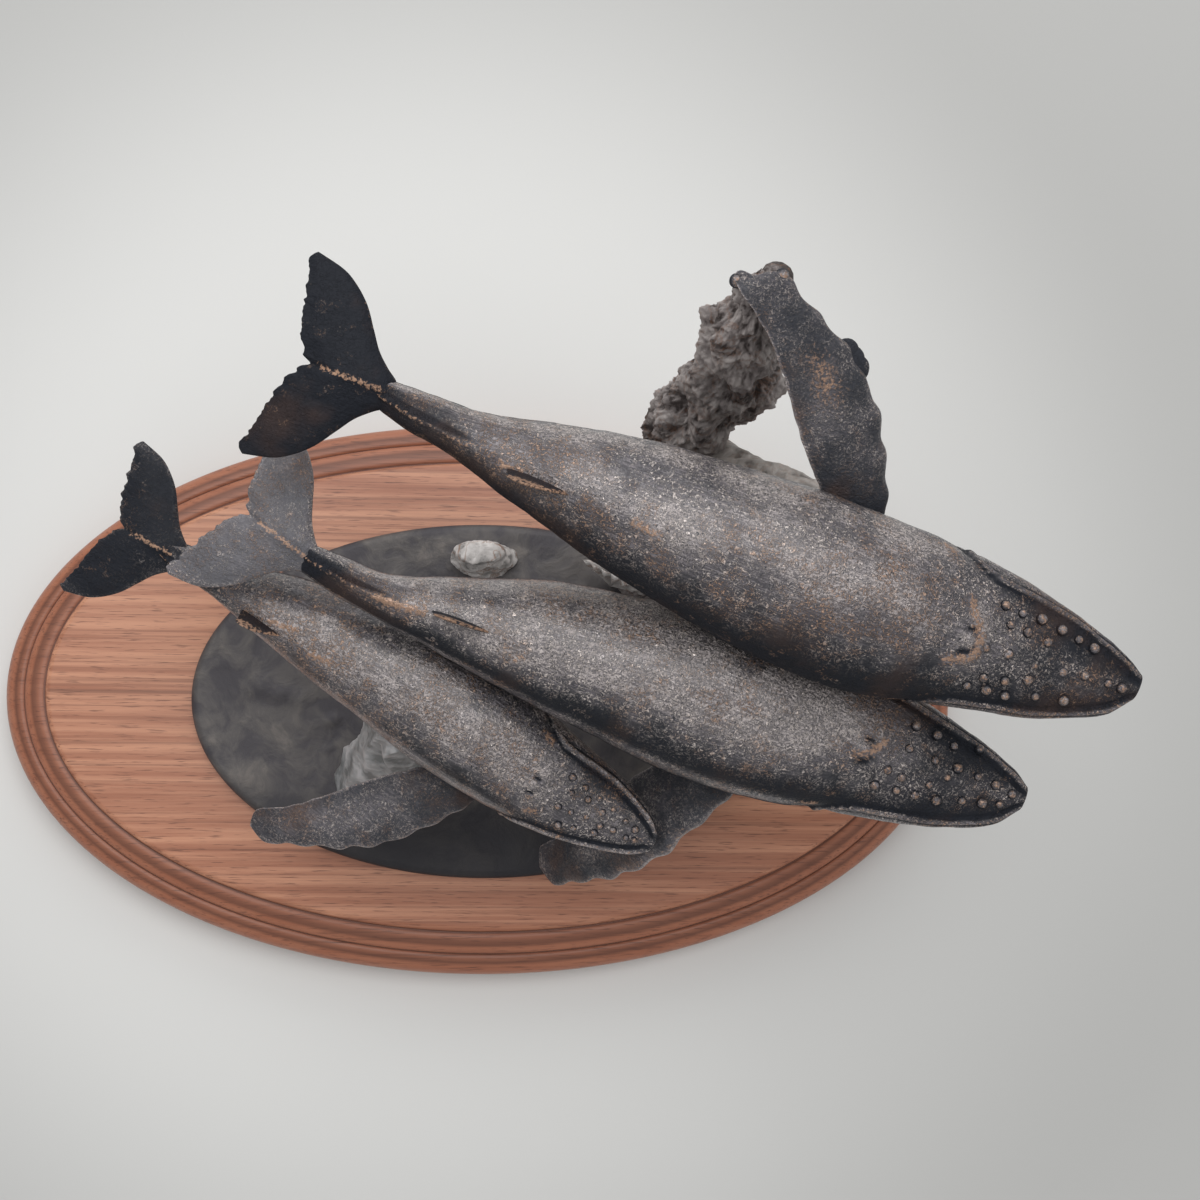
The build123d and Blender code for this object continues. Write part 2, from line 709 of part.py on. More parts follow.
parts["sea_floor"] = make_floor()
parts["coral_fan"] = largest(make_coral() - parts["sea_floor"] - parts["reef_spire"])

pins = []
for point, way, kind in pin_plans():
    diameter = fine_pin_diameter if kind == "fine" else pin_diameter
    length = fine_pin_length if kind == "fine" else pin_length
    pins.append(pin(point, way, diameter, length))
    hole = pin(point, way, diameter + 2 * pin_clearance, length + 2 * pin_clearance)
    for name, shape in parts.items():
        if not apart(shape, hole):
            parts[name] = largest(shape - hole)
parts["joining_pins"] = Compound(pins)
parts["base_screws"], parts["base_washers"] = (Compound(solids) for solids in make_screws())

os.makedirs("parts", exist_ok=True)
for name, shape in parts.items():
    shape.label = name
    export_step(shape, "parts/" + name + ".step")
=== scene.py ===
"""Looks of a desk bronze: three humpback whales over a reef, on an oval walnut board.

The shapes are worked out in millimetres and published in metres, in the frame of the
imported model: +X is the way the whales swim, +Y is the back and +Z is up.
"""
from __future__ import annotations

import logging
import math
from dataclasses import dataclass, field, replace
from enum import Enum
from functools import partial
from typing import Callable, Sequence

import bmesh
import bpy
from bmesh.types import BMEdge, BMesh, BMLayerItem, BMVert
from bpy.types import Material, Node, NodeSocket, NodeTree, Object
from mathutils import Matrix, Vector, noise


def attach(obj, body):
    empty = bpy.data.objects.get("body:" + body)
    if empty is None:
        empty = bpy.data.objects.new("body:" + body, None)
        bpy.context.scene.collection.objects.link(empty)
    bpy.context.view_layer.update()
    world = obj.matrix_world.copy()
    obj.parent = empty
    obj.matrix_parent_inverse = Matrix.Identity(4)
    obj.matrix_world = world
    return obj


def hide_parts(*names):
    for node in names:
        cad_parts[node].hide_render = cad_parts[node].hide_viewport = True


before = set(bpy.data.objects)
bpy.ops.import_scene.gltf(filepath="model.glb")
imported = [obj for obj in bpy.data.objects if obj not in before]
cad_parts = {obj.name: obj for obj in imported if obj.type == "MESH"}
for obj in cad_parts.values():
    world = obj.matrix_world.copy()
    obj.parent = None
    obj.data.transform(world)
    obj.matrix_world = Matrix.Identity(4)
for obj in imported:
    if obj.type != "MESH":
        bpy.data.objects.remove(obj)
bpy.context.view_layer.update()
LOG = logging.getLogger("whale_figurine")
MM = 0.001
PER_MILLE = 0.001
# besides wear, the wear layer carries a painted sheen and highlight on the whales and painted
# shade in the board's grooves and the spire's hollow
SURFACE = ("wear", "bare")  # how far the patina is rubbed, and how far the metal is bare
FULL_ROUND = 0.18  # share of the chord by which a rounded flipper's tip is widened

Spot = tuple[Vector, float, float]  # a point, its wear and its bare metal
Triple = tuple[float, float, float]
Table = Sequence[float]
Mark = tuple[float, float]


# ---- numbers and curves


def flow(places: Table, values: Table, x: float) -> float:
    """Value at x on a smooth curve through a table.

    Args:
        places: where each value is given, rising.
        values: the values there.
        x: the place asked for.

    Returns:
        The value at x.
    """
    last = len(places) - 1
    low = max(0, min(last - 1, sum(1 for place in places[1:-1] if place <= x)))

    def slope(number: int) -> float:
        """Slope of the curve at a place of the table."""
        before, after = max(number - 1, 0), min(number + 1, last)
        return (values[after] - values[before]) / (places[after] - places[before])

    gap = places[low + 1] - places[low]
    t = (x - places[low]) / gap
    start = values[low] * (2 * t**3 - 3 * t**2 + 1) + slope(low) * gap * (t**3 - 2 * t**2 + t)
    end = values[low + 1] * (3 * t**2 - 2 * t**3) + slope(low + 1) * gap * (t**3 - t**2)
    return start + end


def along(values: Table, t: float) -> float:
    """Value at t, from 0 to 1, on a smooth curve through even steps."""
    return flow([number / (len(values) - 1) for number in range(len(values))], values, t)


def rise(start: float, end: float, x: float) -> float:
    """Smooth step from 0 at start to 1 at end; it falls where end is below start."""
    t = max(0.0, min(1.0, (x - start) / (end - start)))
    return t * t * (3 - 2 * t)


def plateau(x: float, start: float, full: float, fade: float, end: float) -> float:
    """Smooth rise from 0 at start to 1 at full, and fall from 1 at fade to 0 at end."""
    return rise(start, full, x) * rise(end, fade, x)


def rounded(start: float, x: float) -> float:
    """Share of its full width that a form keeps as it rounds off from start to 1."""
    return math.sqrt(max(0.0, 1 - rise(start, 1.0, x) ** 2))


def hill(x: float, width: float) -> float:
    """Bell of height 1 about x = 0."""
    return math.exp(-((x / width) ** 2))


def rough(point: Vector, size: float, octaves: int = 3) -> float:
    """Layered noise, about -1 to 1, with lumps of a size in millimetres."""
    return noise.fractal(point / size, 0.8, 2.1, octaves)


# ---- meshes


def surface_layers(bm: BMesh) -> tuple[BMLayerItem, ...]:
    """Wear and bare metal of each vertex, made at their first use."""
    known = bm.verts.layers.float
    return tuple(known.get(name) or known.new(name) for name in SURFACE)


def add_ball(bm: BMesh, around: int, runs: int, place: Callable[[float, float], Spot]) -> None:
    """Add a sphere and move each of its points to its place on a closed form.

    Args:
        bm: the mesh to add to.
        around: points in each ring.
        runs: rings from pole to pole.
        place: gives the point, its wear and its bare metal for a turn and a run of 0 to 1.
    """
    wear, bare = surface_layers(bm)
    made = bmesh.ops.create_uvsphere(bm, u_segments=around, v_segments=runs, radius=1.0)
    for vert in made["verts"]:
        run = math.acos(max(-1.0, min(1.0, vert.co.z))) / math.pi
        turn = math.atan2(vert.co.y, vert.co.x) / math.tau % 1.0
        vert.co, vert[wear], vert[bare] = place(turn, run)
    faces = {face for vert in made["verts"] for face in vert.link_faces}
    bmesh.ops.recalc_face_normals(bm, faces=list(faces))


def add_dome(bm: BMesh, at: Vector, out: Vector, radius: float, height: float,
             polish: float = 0.0) -> None:
    """Add a low dome.

    Args:
        bm: the mesh to add to.
        at: the middle of its foot.
        out: the way it stands.
        radius: its radius.
        height: how far it stands out.
        polish: how far its top is rubbed bare.
    """
    wear, bare = surface_layers(bm)
    turn = out.to_track_quat("Z", "Y").to_matrix().to_4x4()
    matrix = Matrix.Translation(at) @ turn @ Matrix.Diagonal((radius, radius, height, 1.0))
    made = bmesh.ops.create_icosphere(bm, subdivisions=2, radius=1.0, matrix=matrix)
    for vert in made["verts"]:
        over = (vert.co - at).dot(out) / height
        vert[wear] = 2.0 * min(1.0, polish) * rise(0.35, 0.85, over)
        vert[bare] = polish * rise(0.45, 0.95, over)


def add_oval(bm: BMesh, rows: Sequence[tuple[float, ...]], half_long: float,
             half_wide: float, around: int, offset_y: float = 0.0) -> None:
    """Add an oval slab whose edge follows a profile.

    Args:
        bm: the mesh to add to.
        rows: inset, height and, where it isn't 1, scale of each ring, from the foot up.
        half_long: half the length at no inset.
        half_wide: half the width at no inset.
        around: points in each ring.
        offset_y: the middle's place along Y.
    """
    made = bmesh.ops.create_circle(bm, cap_ends=True, segments=around, radius=1.0)
    ring = list(made["verts"])
    turns = {vert: math.atan2(vert.co.y, vert.co.x) for vert in ring}
    edges = list({edge for vert in ring for edge in vert.link_edges})
    for number, (inset, height, *shrink) in enumerate(rows):
        scale = shrink[0] if shrink else 1.0
        if number:
            before = {vert: turns[vert] for vert in ring}
            made = bmesh.ops.extrude_edge_only(bm, edges=edges)
            ring = [item for item in made["geom"] if isinstance(item, BMVert)]
            edges = [item for item in made["geom"] if isinstance(item, BMEdge)]
            for vert in ring:
                partner = next(edge.other_vert(vert) for edge in vert.link_edges
                               if edge.other_vert(vert) in before)
                turns[vert] = before[partner]
            edges = [edge for edge in edges if all(vert in ring for vert in edge.verts)]
        for vert in ring:
            turn = turns[vert]
            vert.co = Vector(((half_long - inset) * scale * math.cos(turn),
                              (half_wide - inset) * scale * math.sin(turn) + offset_y, height))
    bmesh.ops.contextual_create(bm, geom=edges)
    bmesh.ops.recalc_face_normals(bm, faces=list(bm.faces))


def publish(bm: BMesh, name: str, stands_for: Sequence[str],
            material: Material, levels: int = 0) -> Object:
    """Make a finished piece of a mesh in millimetres.

    Args:
        bm: the mesh, which is freed.
        name: the piece's name.
        stands_for: the nodes that it replaces.
        material: its finish.
        levels: levels of subdivision.

    Returns:
        The new object.
    """
    bmesh.ops.transform(bm, matrix=Matrix.Scale(MM, 4), verts=bm.verts)
    mesh = bpy.data.meshes.new(name)
    bm.to_mesh(mesh)
    bm.free()
    mesh.shade_smooth()
    mesh.materials.append(material)
    piece = bpy.data.objects.new(name, mesh)
    bpy.context.scene.collection.objects.link(piece)
    if levels:
        smoother = piece.modifiers.new("smooth", "SUBSURF")
        smoother.levels = smoother.render_levels = levels
    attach(piece, "root")
    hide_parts(*stands_for)
    LOG.info("%s: %d faces for %s", name, len(mesh.polygons), ", ".join(stands_for))
    return piece


# ---- finishes


Input = NodeSocket | float | str | Sequence[float]
Sockets = dict[int | str, Input]
TIMES, PLUS, LESS, MOST, POSITIVE, TIMES_PLUS = (
    {"operation": name}
    for name in ("MULTIPLY", "ADD", "SUBTRACT", "MAXIMUM", "ABSOLUTE", "MULTIPLY_ADD"))
SMOOTH = {"interpolation_type": "SMOOTHSTEP"}  # from 0 to 1 between two values
NOISE = ("Scale", "Detail", "Roughness", "Distortion")


def colour(text: str) -> tuple[float, float, float, float]:
    """Linear colour with alpha from an sRGB hex text such as "#8a5a3c"."""
    parts = [int(text[start:start + 2], 16) / 255 for start in (1, 3, 5)]
    red, green, blue = (part / 12.92 if part <= 0.04045 else ((part + 0.055) / 1.055) ** 2.4
                        for part in parts)
    return red, green, blue, 1.0


def feed(node: Node, sockets: Sockets) -> None:
    """Link or set a node's sockets, each by its number or name."""
    for socket, value in sockets.items():
        if isinstance(value, NodeSocket):
            node.id_data.links.new(value, node.inputs[socket])
        else:
            node.inputs[socket].default_value = colour(value) if isinstance(value, str) else value


def add_node(tree: NodeTree, kind: str, *inputs: Input, sockets: Sockets | None = None,
             out: int | str = 0, **options: str) -> NodeSocket | None:
    """Add a node with its settings and links.

    Args:
        tree: the node tree.
        kind: the node's type, without its ShaderNode prefix.
        inputs: what its first sockets take, in order: outputs, values or hex colours.
        sockets: what other sockets take, by number or name.
        out: the output asked for, by number or name.
        options: the node's own properties.

    Returns:
        That output, or nothing where the node has none.
    """
    node = tree.nodes.new("ShaderNode" + kind)
    for name, value in options.items():
        setattr(node, name, value)
    feed(node, dict(enumerate(inputs)) | (sockets or {}))
    return node.outputs[out] if node.outputs else None


@dataclass(frozen=True)
class Finish:
    """What all finishes share: a name, layers of colour and a relief."""

    name: str

    def start(self) -> tuple[Material, Callable, NodeSocket]:
        """New material, the function that adds its nodes, and its object coordinates."""
        material = bpy.data.materials.new(self.name)
        material.use_nodes = True
        add = partial(add_node, material.node_tree)
        return material, add, add("TexCoord", out="Object")

    def paint(self, add: Callable, base: Input, layers: Sequence[tuple[Input, Input]]
              ) -> NodeSocket:
        """Lay colours over a base, each with its share."""
        # a Mix node takes its two colours at 6 and 7 and gives the mixed one at 2
        for share, tone in layers:
            base = add("Mix", share, sockets={6: base, 7: tone}, out=2, data_type="RGBA")
        return base

    def complete(self, material: Material, add: Callable, base: Input,
                 bump: tuple[float, float, Input], shine: Sockets) -> Material:
        """Join colour, relief and shine to the material's shader.

        Args:
            material: the material.
            add: the function that adds its nodes.
            base: its colour.
            bump: strength, depth in millimetres and height of its relief.
            shine: what the shader's other sockets take.

        Returns:
            The material.
        """
        strength, depth, height = bump
        normal = add("Bump", strength, depth * MM, sockets={"Height": height})
        feed(material.node_tree.nodes["Principled BSDF"],
             {"Base Color": base, "Normal": normal} | shine)
        return material


@dataclass(frozen=True)
class PatinatedBronze(Finish):
    """Cast bronze with a brushed-on chemical patina under wax.

    The patina is satin and blue-black, going brown in places. Steel wool has rubbed the
    backs to a grey bloom of curly flecks, which also stands for a painted sheen; the flecks
    have dark rims of painted shade, the crests carry a painted highlight of pale grey worms,
    and the high points are rubbed back to bare copper.
    """

    heading: float
    dark: str = "#1b1e26"
    brown: str = "#362b2a"
    # grey of the rubbed back, lightened so that it also stands for a painted sheen
    bloom_and_sheen: str = "#7f797d"
    # painted highlight along the crest of the back
    painted_highlight: str = "#b5acaa"
    fleck: str = "#e8dcd6"
    copper: str = "#ba957c"
    fleck_share: float = 0.9
    fleck_size: float = 1.2
    speck_size: float = 0.8
    patch_size: float = 5.0
    cloud_size: float = 16.0
    zone_size: float = 30.0
    brush_length: float = 11.0
    brush_width: float = 0.55

    def make(self) -> Material:
        """Build the material."""
        material, add, place = self.start()
        worn, bare = (add("Attribute", out="Fac", attribute_name=name) for name in SURFACE)
        swim = add("Mapping", place, vector_type="TEXTURE",
                   sockets={"Rotation": (0, 0, math.radians(self.heading))})
        strands = [1 / (size * MM) for size in (self.brush_length, *[self.brush_width] * 2)]
        brush = add("Mapping", swim, sockets={"Scale": strands})
        strokes, clouds, zones, curls, specks, patches = (
            add("TexNoise", vector, sockets=dict(zip(NOISE, settings)))
            for vector, *settings in (
                (brush, 1.0, 3.0, 0.6),
                (place, 1 / (self.cloud_size * MM), 5.0, 0.6),
                (swim, 1 / (self.zone_size * MM), 4.0, 0.62),
                (place, 1 / (self.fleck_size * MM), 1.0, 0.5, 1.3),
                (place, 1 / (self.speck_size * MM), 2.0, 0.6),
                (place, 1 / (self.patch_size * MM), 3.0, 0.6)))

        # curly flecks where the noise crosses its middle, with dark rims of painted shade around
        # them
        lines = add("Math", add("Math", curls, 0.5, **LESS), **POSITIVE)
        curly = add("Math", add("MapRange", lines, 0.015, 0.075, 1.0, 0.0, **SMOOTH),
                    add("MapRange", specks, 0.38, 0.56, **SMOOTH), **TIMES)
        painted_rim_shade = add("Math", add("MapRange", lines, 0.050, 0.085, **SMOOTH),
                   add("MapRange", lines, 0.10, 0.17, **SMOOTH), **LESS)
        painted_rim_shade = add("Math", painted_rim_shade, add("MapRange", specks, 0.36, 0.54, **SMOOTH), **TIMES)
        sparks = add("Math", curly, add("MapRange", patches, 0.58, 0.64, 0.0, 0.5, **SMOOTH),
                     **TIMES)
        flecks = add("Math", curly, add("MapRange", patches, 0.32, 0.54, **SMOOTH), **TIMES)

        # how far the patina is rubbed through; the grey bloom over the rubbed back is wear and
        # also a painted sheen
        rubbed = add("Math", worn, add("Math", clouds, 2.9, -0.5, **TIMES_PLUS), **TIMES)
        streaks = add("MapRange", strokes, 0.46, 0.64, 0.0, 0.65, **SMOOTH)
        bloom_and_sheen = add("Math", add("MapRange", rubbed, 0.25, 1.10, **SMOOTH),
                    add("Math", streaks, 0.35, **PLUS), **TIMES)
        # painted highlight along the crest, broken into pale worms
        highlight_worms = add("MapRange", lines, 0.02, 0.10, 0.915, 0.215, **SMOOTH)
        painted_highlight = add("Math", add("MapRange", rubbed, 1.0, 2.3, **SMOOTH),
                    add("Math", highlight_worms, streaks, **PLUS), **TIMES)
        # painted shade: the dark rims around the flecks, laid on the rubbed back
        painted_fleck_shade = add("Math", add("Math", painted_rim_shade, bloom_and_sheen, **TIMES), 1.3 * self.fleck_share, **TIMES)
        cover = add("Math", flecks, add("MapRange", rubbed, 0.12, 0.75, **SMOOTH), **TIMES)
        cover = add("Math", add("Math", cover, sparks, **MOST), self.fleck_share, **TIMES)
        warm = add("Math", zones, 0.7, add("Math", patches, 0.5, **TIMES), **TIMES_PLUS)
        warm = add("Math", add("MapRange", warm, 0.55, 0.68, **SMOOTH),
                   add("MapRange", bare, 0.1, 0.5, **SMOOTH), **MOST)
        mottled = add("Math", specks, 2.4, -2.4 * 0.52, **TIMES_PLUS)
        mottled = add("Math", bare, 0.85, mottled, **TIMES_PLUS)
        mottled = add("Math", add("MapRange", mottled, 0.38, 0.85, 0.0, 0.8, **SMOOTH),
                      add("MapRange", bare, 0.05, 0.25, **SMOOTH), **TIMES)
        browned = add("MapRange", zones, 0.48, 0.68, **SMOOTH)
        bright = self.paint(add, self.fleck, [(warm, self.copper)])
        base = self.paint(add, self.dark, [
            (browned, self.brown), (bloom_and_sheen, self.bloom_and_sheen), (painted_highlight, self.painted_highlight), (painted_fleck_shade, self.dark),
            (cover, bright), (mottled, self.copper)])

        polish = add("Math", add("MapRange", worn, 0.1, 1.0, **SMOOTH),
                     add("MapRange", specks, 0.36, 0.60, 0.25, 1.0, **SMOOTH), **TIMES)
        shine = {socket: add("MapRange", polish, 0.0, 1.0, low, high) for socket, low, high in (
            ("Metallic", 0.10, 0.60), ("Coat Weight", 0.05, 0.65), ("Roughness", 0.68, 0.34),
            ("Specular IOR Level", 0.22, 0.6))}
        height = add("Math", strokes, 0.6, add("Math", specks, 0.9, **TIMES), **TIMES_PLUS)
        height = add("Math", flecks, self.fleck_share, height, **TIMES_PLUS)
        return self.complete(material, add, base, (0.9, 0.45, height),
                             shine | {"Coat Roughness": 0.30})


@dataclass(frozen=True)
class RoughCastBronze(Finish):
    """Rough cast bronze rock, left unchased, with a matt grey-brown patina.

    The mould's crags show as pale dusty tops over dark pits, with a few brown veins.
    """

    dark: str
    middle: str
    pale: str
    vein: str = "#8a6248"
    vein_share: float = 0.35
    vein_size: float = 9.0
    crag_size: float = 8.0
    grain: float = 2.0
    streak: float = 2.6
    streak_turn: Triple = (0.6, 0.5, 0.9)
    relief: float = 0.9

    def make(self) -> Material:
        """Build the material."""
        material, add, place = self.start()
        worn = add("Attribute", out="Fac", attribute_name="wear")
        tilt = add("Mapping", place, vector_type="TEXTURE",
                   sockets={"Rotation": self.streak_turn, "Scale": (self.streak, 1.0, 1.0)})
        coarse, fine, veins = (
            add("TexNoise", vector, sockets=dict(zip(NOISE, settings)))
            for vector, *settings in (
                (place, 1 / (self.crag_size * MM), 6.0, 0.65),
                (tilt, 1 / (self.grain * MM), 5.0, 0.7, 0.5),
                (place, 1 / (self.vein_size * MM), 4.0, 0.6, 0.6)))
        veins = add("Math", add("Math", veins, 0.5, **LESS), **POSITIVE)
        veins = add("MapRange", veins, 0.0, 0.03, self.vein_share, 0.0, **SMOOTH)
        mixed = add("Math", coarse, 0.8, add("Math", fine, 0.4, **TIMES), **TIMES_PLUS)
        tops = add("Math", worn, 0.4, mixed, **TIMES_PLUS)
        base = self.paint(add, self.dark, [
            (add("MapRange", tops, 0.56, 0.74, **SMOOTH), self.middle),
            (add("MapRange", tops, 0.72, 0.98, **SMOOTH), self.pale), (veins, self.vein)])
        return self.complete(material, add, base, (1.0, self.relief, mixed),
                             {"Roughness": 0.60, "Metallic": 0.20})


@dataclass(frozen=True)
class MarbledBronze(Finish):
    """Smooth cast bronze plate with a dark patina, mottled olive brown like a sea bed."""

    dark: str = "#454246"
    middle: str = "#5a5655"
    pale: str = "#6e6864"
    # painted shadow towards the front
    painted_front_shade: str = "#201f24"
    drift_size: float = 26.0
    drift_reach: float = 30.0
    vein_size: float = 13.0

    def make(self) -> Material:
        """Build the material."""
        material, add, place = self.start()
        drift = add("TexNoise", place, out="Color",
                    sockets={"Scale": 1 / (self.drift_size * MM), "Detail": 3.0})
        warped = add("VectorMath", drift, [self.drift_reach * MM] * 3, place, **TIMES_PLUS)
        veins = add("TexNoise", warped,
                    sockets=dict(zip(NOISE, (1 / (self.vein_size * MM), 7.0, 0.62))))
        across = add("SeparateXYZ", place, out=1)
        base = self.paint(add, self.dark, [
            (add("MapRange", veins, 0.38, 0.58, **SMOOTH), self.middle),
            (add("MapRange", veins, 0.54, 0.70, **SMOOTH), self.pale),
            # painted shadow of the whales, darker towards the front
            (add("MapRange", across, -22 * MM, -46 * MM, 0.0, 0.85, **SMOOTH), self.painted_front_shade)])
        return self.complete(material, add, base, (0.8, 0.9, veins),
                             {"Roughness": 0.52, "Metallic": 0.35})


@dataclass(frozen=True)
class VarnishedWalnut(Finish):
    """Walnut, planed along the grain and sealed with a satin varnish.

    Straight grain in long streaks, with fine dark pores between them, and painted shade in
    the grooves of the moulding.
    """

    light: str = "#cb9172"
    middle: str = "#a3684d"
    dark: str = "#5c3424"
    moulding: str = "#9a5b3f"
    streaks: Triple = (140.0, 3.6, 4.0)
    pores: Triple = (9.0, 0.5, 2.0)
    bands: Triple = (224.0, 1.26, 3.0)

    def make(self) -> Material:
        """Build the material from noise of a length, width and detail along the board."""
        material, add, place = self.start()
        streaks, pores, bands = (
            add("TexNoise", add("Mapping", place, sockets={
                "Scale": (1 / (length * MM), 1 / (width * MM), 1 / (width * MM))}),
                sockets=dict(zip(NOISE, (1.0, detail, 0.6))))
            for length, width, detail in (self.streaks, self.pores, self.bands))
        # groove: painted shade in the moulding's grooves; edge: the moulding itself
        groove, edge = (add("Attribute", out="Fac", attribute_name=name) for name in SURFACE)
        base = self.paint(add, self.middle, [
            (add("MapRange", streaks, 0.32, 0.68, **SMOOTH), self.light),
            (add("Math", edge, 0.8, **TIMES), self.moulding),
            (add("MapRange", bands, 0.50, 0.78, 0.0, 0.60, **SMOOTH), self.dark),
            (add("MapRange", pores, 0.56, 0.70, 0.0, 0.7, **SMOOTH), self.dark),
            (groove, self.dark)])
        return self.complete(material, add, base, (0.25, 0.15, pores),
                             {"Roughness": 0.42, "Coat Weight": 0.12, "Coat Roughness": 0.3})


@dataclass(frozen=True)
class PlainFinish(Finish):
    """Hidden fittings: zinc-plated steel, bronze rod and wool felt, with a fine grain."""

    tone: str
    worn: str
    grain: float
    roughness: float
    metallic: float

    def make(self) -> Material:
        """Build the material."""
        material, add, place = self.start()
        fine = add("TexNoise", place, sockets={"Scale": 1 / (self.grain * MM), "Detail": 4.0})
        base = self.paint(add, self.tone, [
            (add("MapRange", fine, 0.35, 0.65, **SMOOTH), self.worn)])
        return self.complete(material, add, base, (0.3, 0.2, fine),
                             {"Roughness": self.roughness, "Metallic": self.metallic})


# ---- whales


class Side(Enum):
    """Side of a whale, as the sign of its left direction."""

    LEFT = 1
    RIGHT = -1


@dataclass(frozen=True)
class FlipperPlan:
    """Where a flipper starts and ends, and how it lies."""

    side: Side
    root: Vector
    tip: Vector
    lead: Vector
    bend: float = 0.0
    slim: float = 1.0
    blunt_share: float = 0.0
    round_share: float = 0.0


@dataclass(eq=False)
class Whale:
    """One humpback whale. Lengths are in millimetres, angles in degrees."""

    name: str
    length: float
    nose: Triple
    heading: float
    pitch: float
    head_bank: float
    tail_bank: float
    bow_shares: Table
    fluke_size: float
    fluke_shift_share: float
    fluke_turn: float
    fluke_roll: float
    seed: float  # place of the whale's own lumps in the noise
    # rubbing of the head, which also paints a sheen there
    head_polish_and_sheen: float
    fluke_polish: float
    # painted sheen along the outline on each side
    painted_rim_sheen: tuple[float, float]  # left and right
    # painted highlight along the crest of the back
    painted_crest_highlight: float
    tubercles: Sequence[Mark]
    copper_lines: Sequence[Sequence[Mark]]
    # distance from the snout, half width, height and depth
    body_section_shares: Sequence[tuple[float, float, float, float]] = (
        (0.002, 0.012, 0.007, 0.010), (0.030, 0.036, 0.015, 0.028),
        (0.090, 0.059, 0.027, 0.055), (0.160, 0.077, 0.043, 0.078),
        (0.230, 0.088, 0.061, 0.096), (0.320, 0.099, 0.084, 0.107),
        (0.420, 0.100, 0.093, 0.104), (0.520, 0.088, 0.089, 0.095),
        (0.620, 0.073, 0.078, 0.079), (0.720, 0.050, 0.060, 0.058),
        (0.810, 0.028, 0.038, 0.036), (0.890, 0.021, 0.026, 0.025),
        (0.950, 0.020, 0.014, 0.014))
    tail_rise_shares: Table = (0, 0.001, 0.003, 0.005, 0.006, 0.007, 0.006, 0.005, 0.005, 0.008,
                               0.014, 0.021, 0.027)
    mouth_place_shares: Table = (0.0, 0.012, 0.037, 0.080, 0.130, 0.180, 0.210, 0.235, 0.255)
    mouth_angles: Table = (75, 62, 48, 38, 34, 35, 32, 18, -8)
    lip_drop: float = 1.45  # below the mouth line
    jaw_groove_drop: float = 2.9
    pleat_count: int = 28
    pleat_depth: float = 0.55
    blowhole_share: float = 0.214
    eye_share: float = 0.240
    tubercle_radius: float = 1.46
    trunk_grid: tuple[int, int] = (84, 240)  # points around and rings along
    fin_grid: tuple[int, int] = (28, 36)
    fluke_grid: tuple[int, int] = (44, 180)
    flipper_grid: tuple[int, int] = (48, 150)
    fin_place_share: float = 0.705
    fin_chord_share: float = 0.085
    fin_thickness_share: float = 0.018
    fin_height_share: float = 0.030
    fin_sweep_share: float = 0.028
    fin_root_share: float = 0.030
    fluke_half_span_share: float = 0.122
    fluke_pivot_share: float = 0.920
    fluke_droop_share: float = 0.014
    fluke_spans: Table = (0.0, 0.13, 0.21, 0.33, 0.50, 0.72, 0.90, 1.0)
    fluke_lead_shares: Table = (0.888, 0.893, 0.906, 0.922, 0.937, 0.957, 0.985, 1.015)
    fluke_trail_shares: Table = (1.000, 1.007, 1.013, 1.018, 1.023, 1.029, 1.036, 1.041)
    fluke_thick_shares: Table = (0.0270, 0.0240, 0.0205, 0.0160, 0.0130, 0.0105, 0.0075, 0.0045)
    flipper_chord_share: float = 0.118
    flipper_thickness_share: float = 0.027
    flipper_root_overlap_share: float = 0.14
    flipper_top: float = 180.1
    relief_length: float = 229.5  # length of a whale whose relief is as deep as given
    mark_end_share: float = 0.95
    knob_count: int = 7
    knob_height_share: float = 0.07
    flipper_chord_shares: Table = (0.70, 0.77, 0.86, 0.95, 0.94, 0.82, 0.66, 0.48, 0.22)
    flipper_thick_shares: Table = (1.00, 0.94, 0.86, 0.78, 0.70, 0.62, 0.52, 0.40, 0.18)
    flipper_sweep_shares: Table = (0.00, -0.11, -0.16, -0.20, -0.215, -0.20, -0.15, -0.07, 0.03)
    rubs: list[list[Vector]] = field(default_factory=list)
    forward: Vector = field(init=False)
    left: Vector = field(init=False)
    up: Vector = field(init=False)

    def __post_init__(self) -> None:
        """Work out the whale's axes."""
        yaw, climb = math.radians(self.heading), math.radians(self.pitch)
        self.forward = Vector((math.cos(yaw) * math.cos(climb), math.sin(yaw) * math.cos(climb),
                               math.sin(climb)))
        self.left = Vector((-math.sin(yaw), math.cos(yaw), 0.0))
        self.up = self.forward.cross(self.left)

    @property
    def places(self) -> list[float]:
        """Distances from the snout at which the sections are given, as shares."""
        return [row[0] for row in self.body_section_shares]

    def rolled(self, bank: float) -> tuple[Vector, Vector]:
        """Left and up directions after a roll to the right, in degrees."""
        angle = math.radians(bank)
        left = self.left * math.cos(angle) + self.up * math.sin(angle)
        return left, self.forward.cross(left)

    def bank(self, share: float) -> float:
        """Roll to the right at a distance from the snout, in degrees."""
        reach = min(share / self.fin_place_share, 1.0)
        return self.head_bank + (self.tail_bank - self.head_bank) * reach

    def size(self, share: float, column: int) -> float:
        """Half width, height or depth of the body at a distance from the snout."""
        values = [row[column] for row in self.body_section_shares]
        return flow(self.places, values, share) * self.length

    def section(self, share: float) -> tuple[Vector, Vector, list[float]]:
        """Left and up directions, and half width, height and depth, behind the snout."""
        left, up = self.rolled(self.bank(share))
        return left, up, [self.size(share, column) for column in (1, 2, 3)]

    @staticmethod
    def crown(share: float, over: float) -> float:
        """Height of the section over its widest line, which is fuller behind the head."""
        return over if over < 0 else over ** (1 - 0.22 * rise(0.30, 0.10, share))

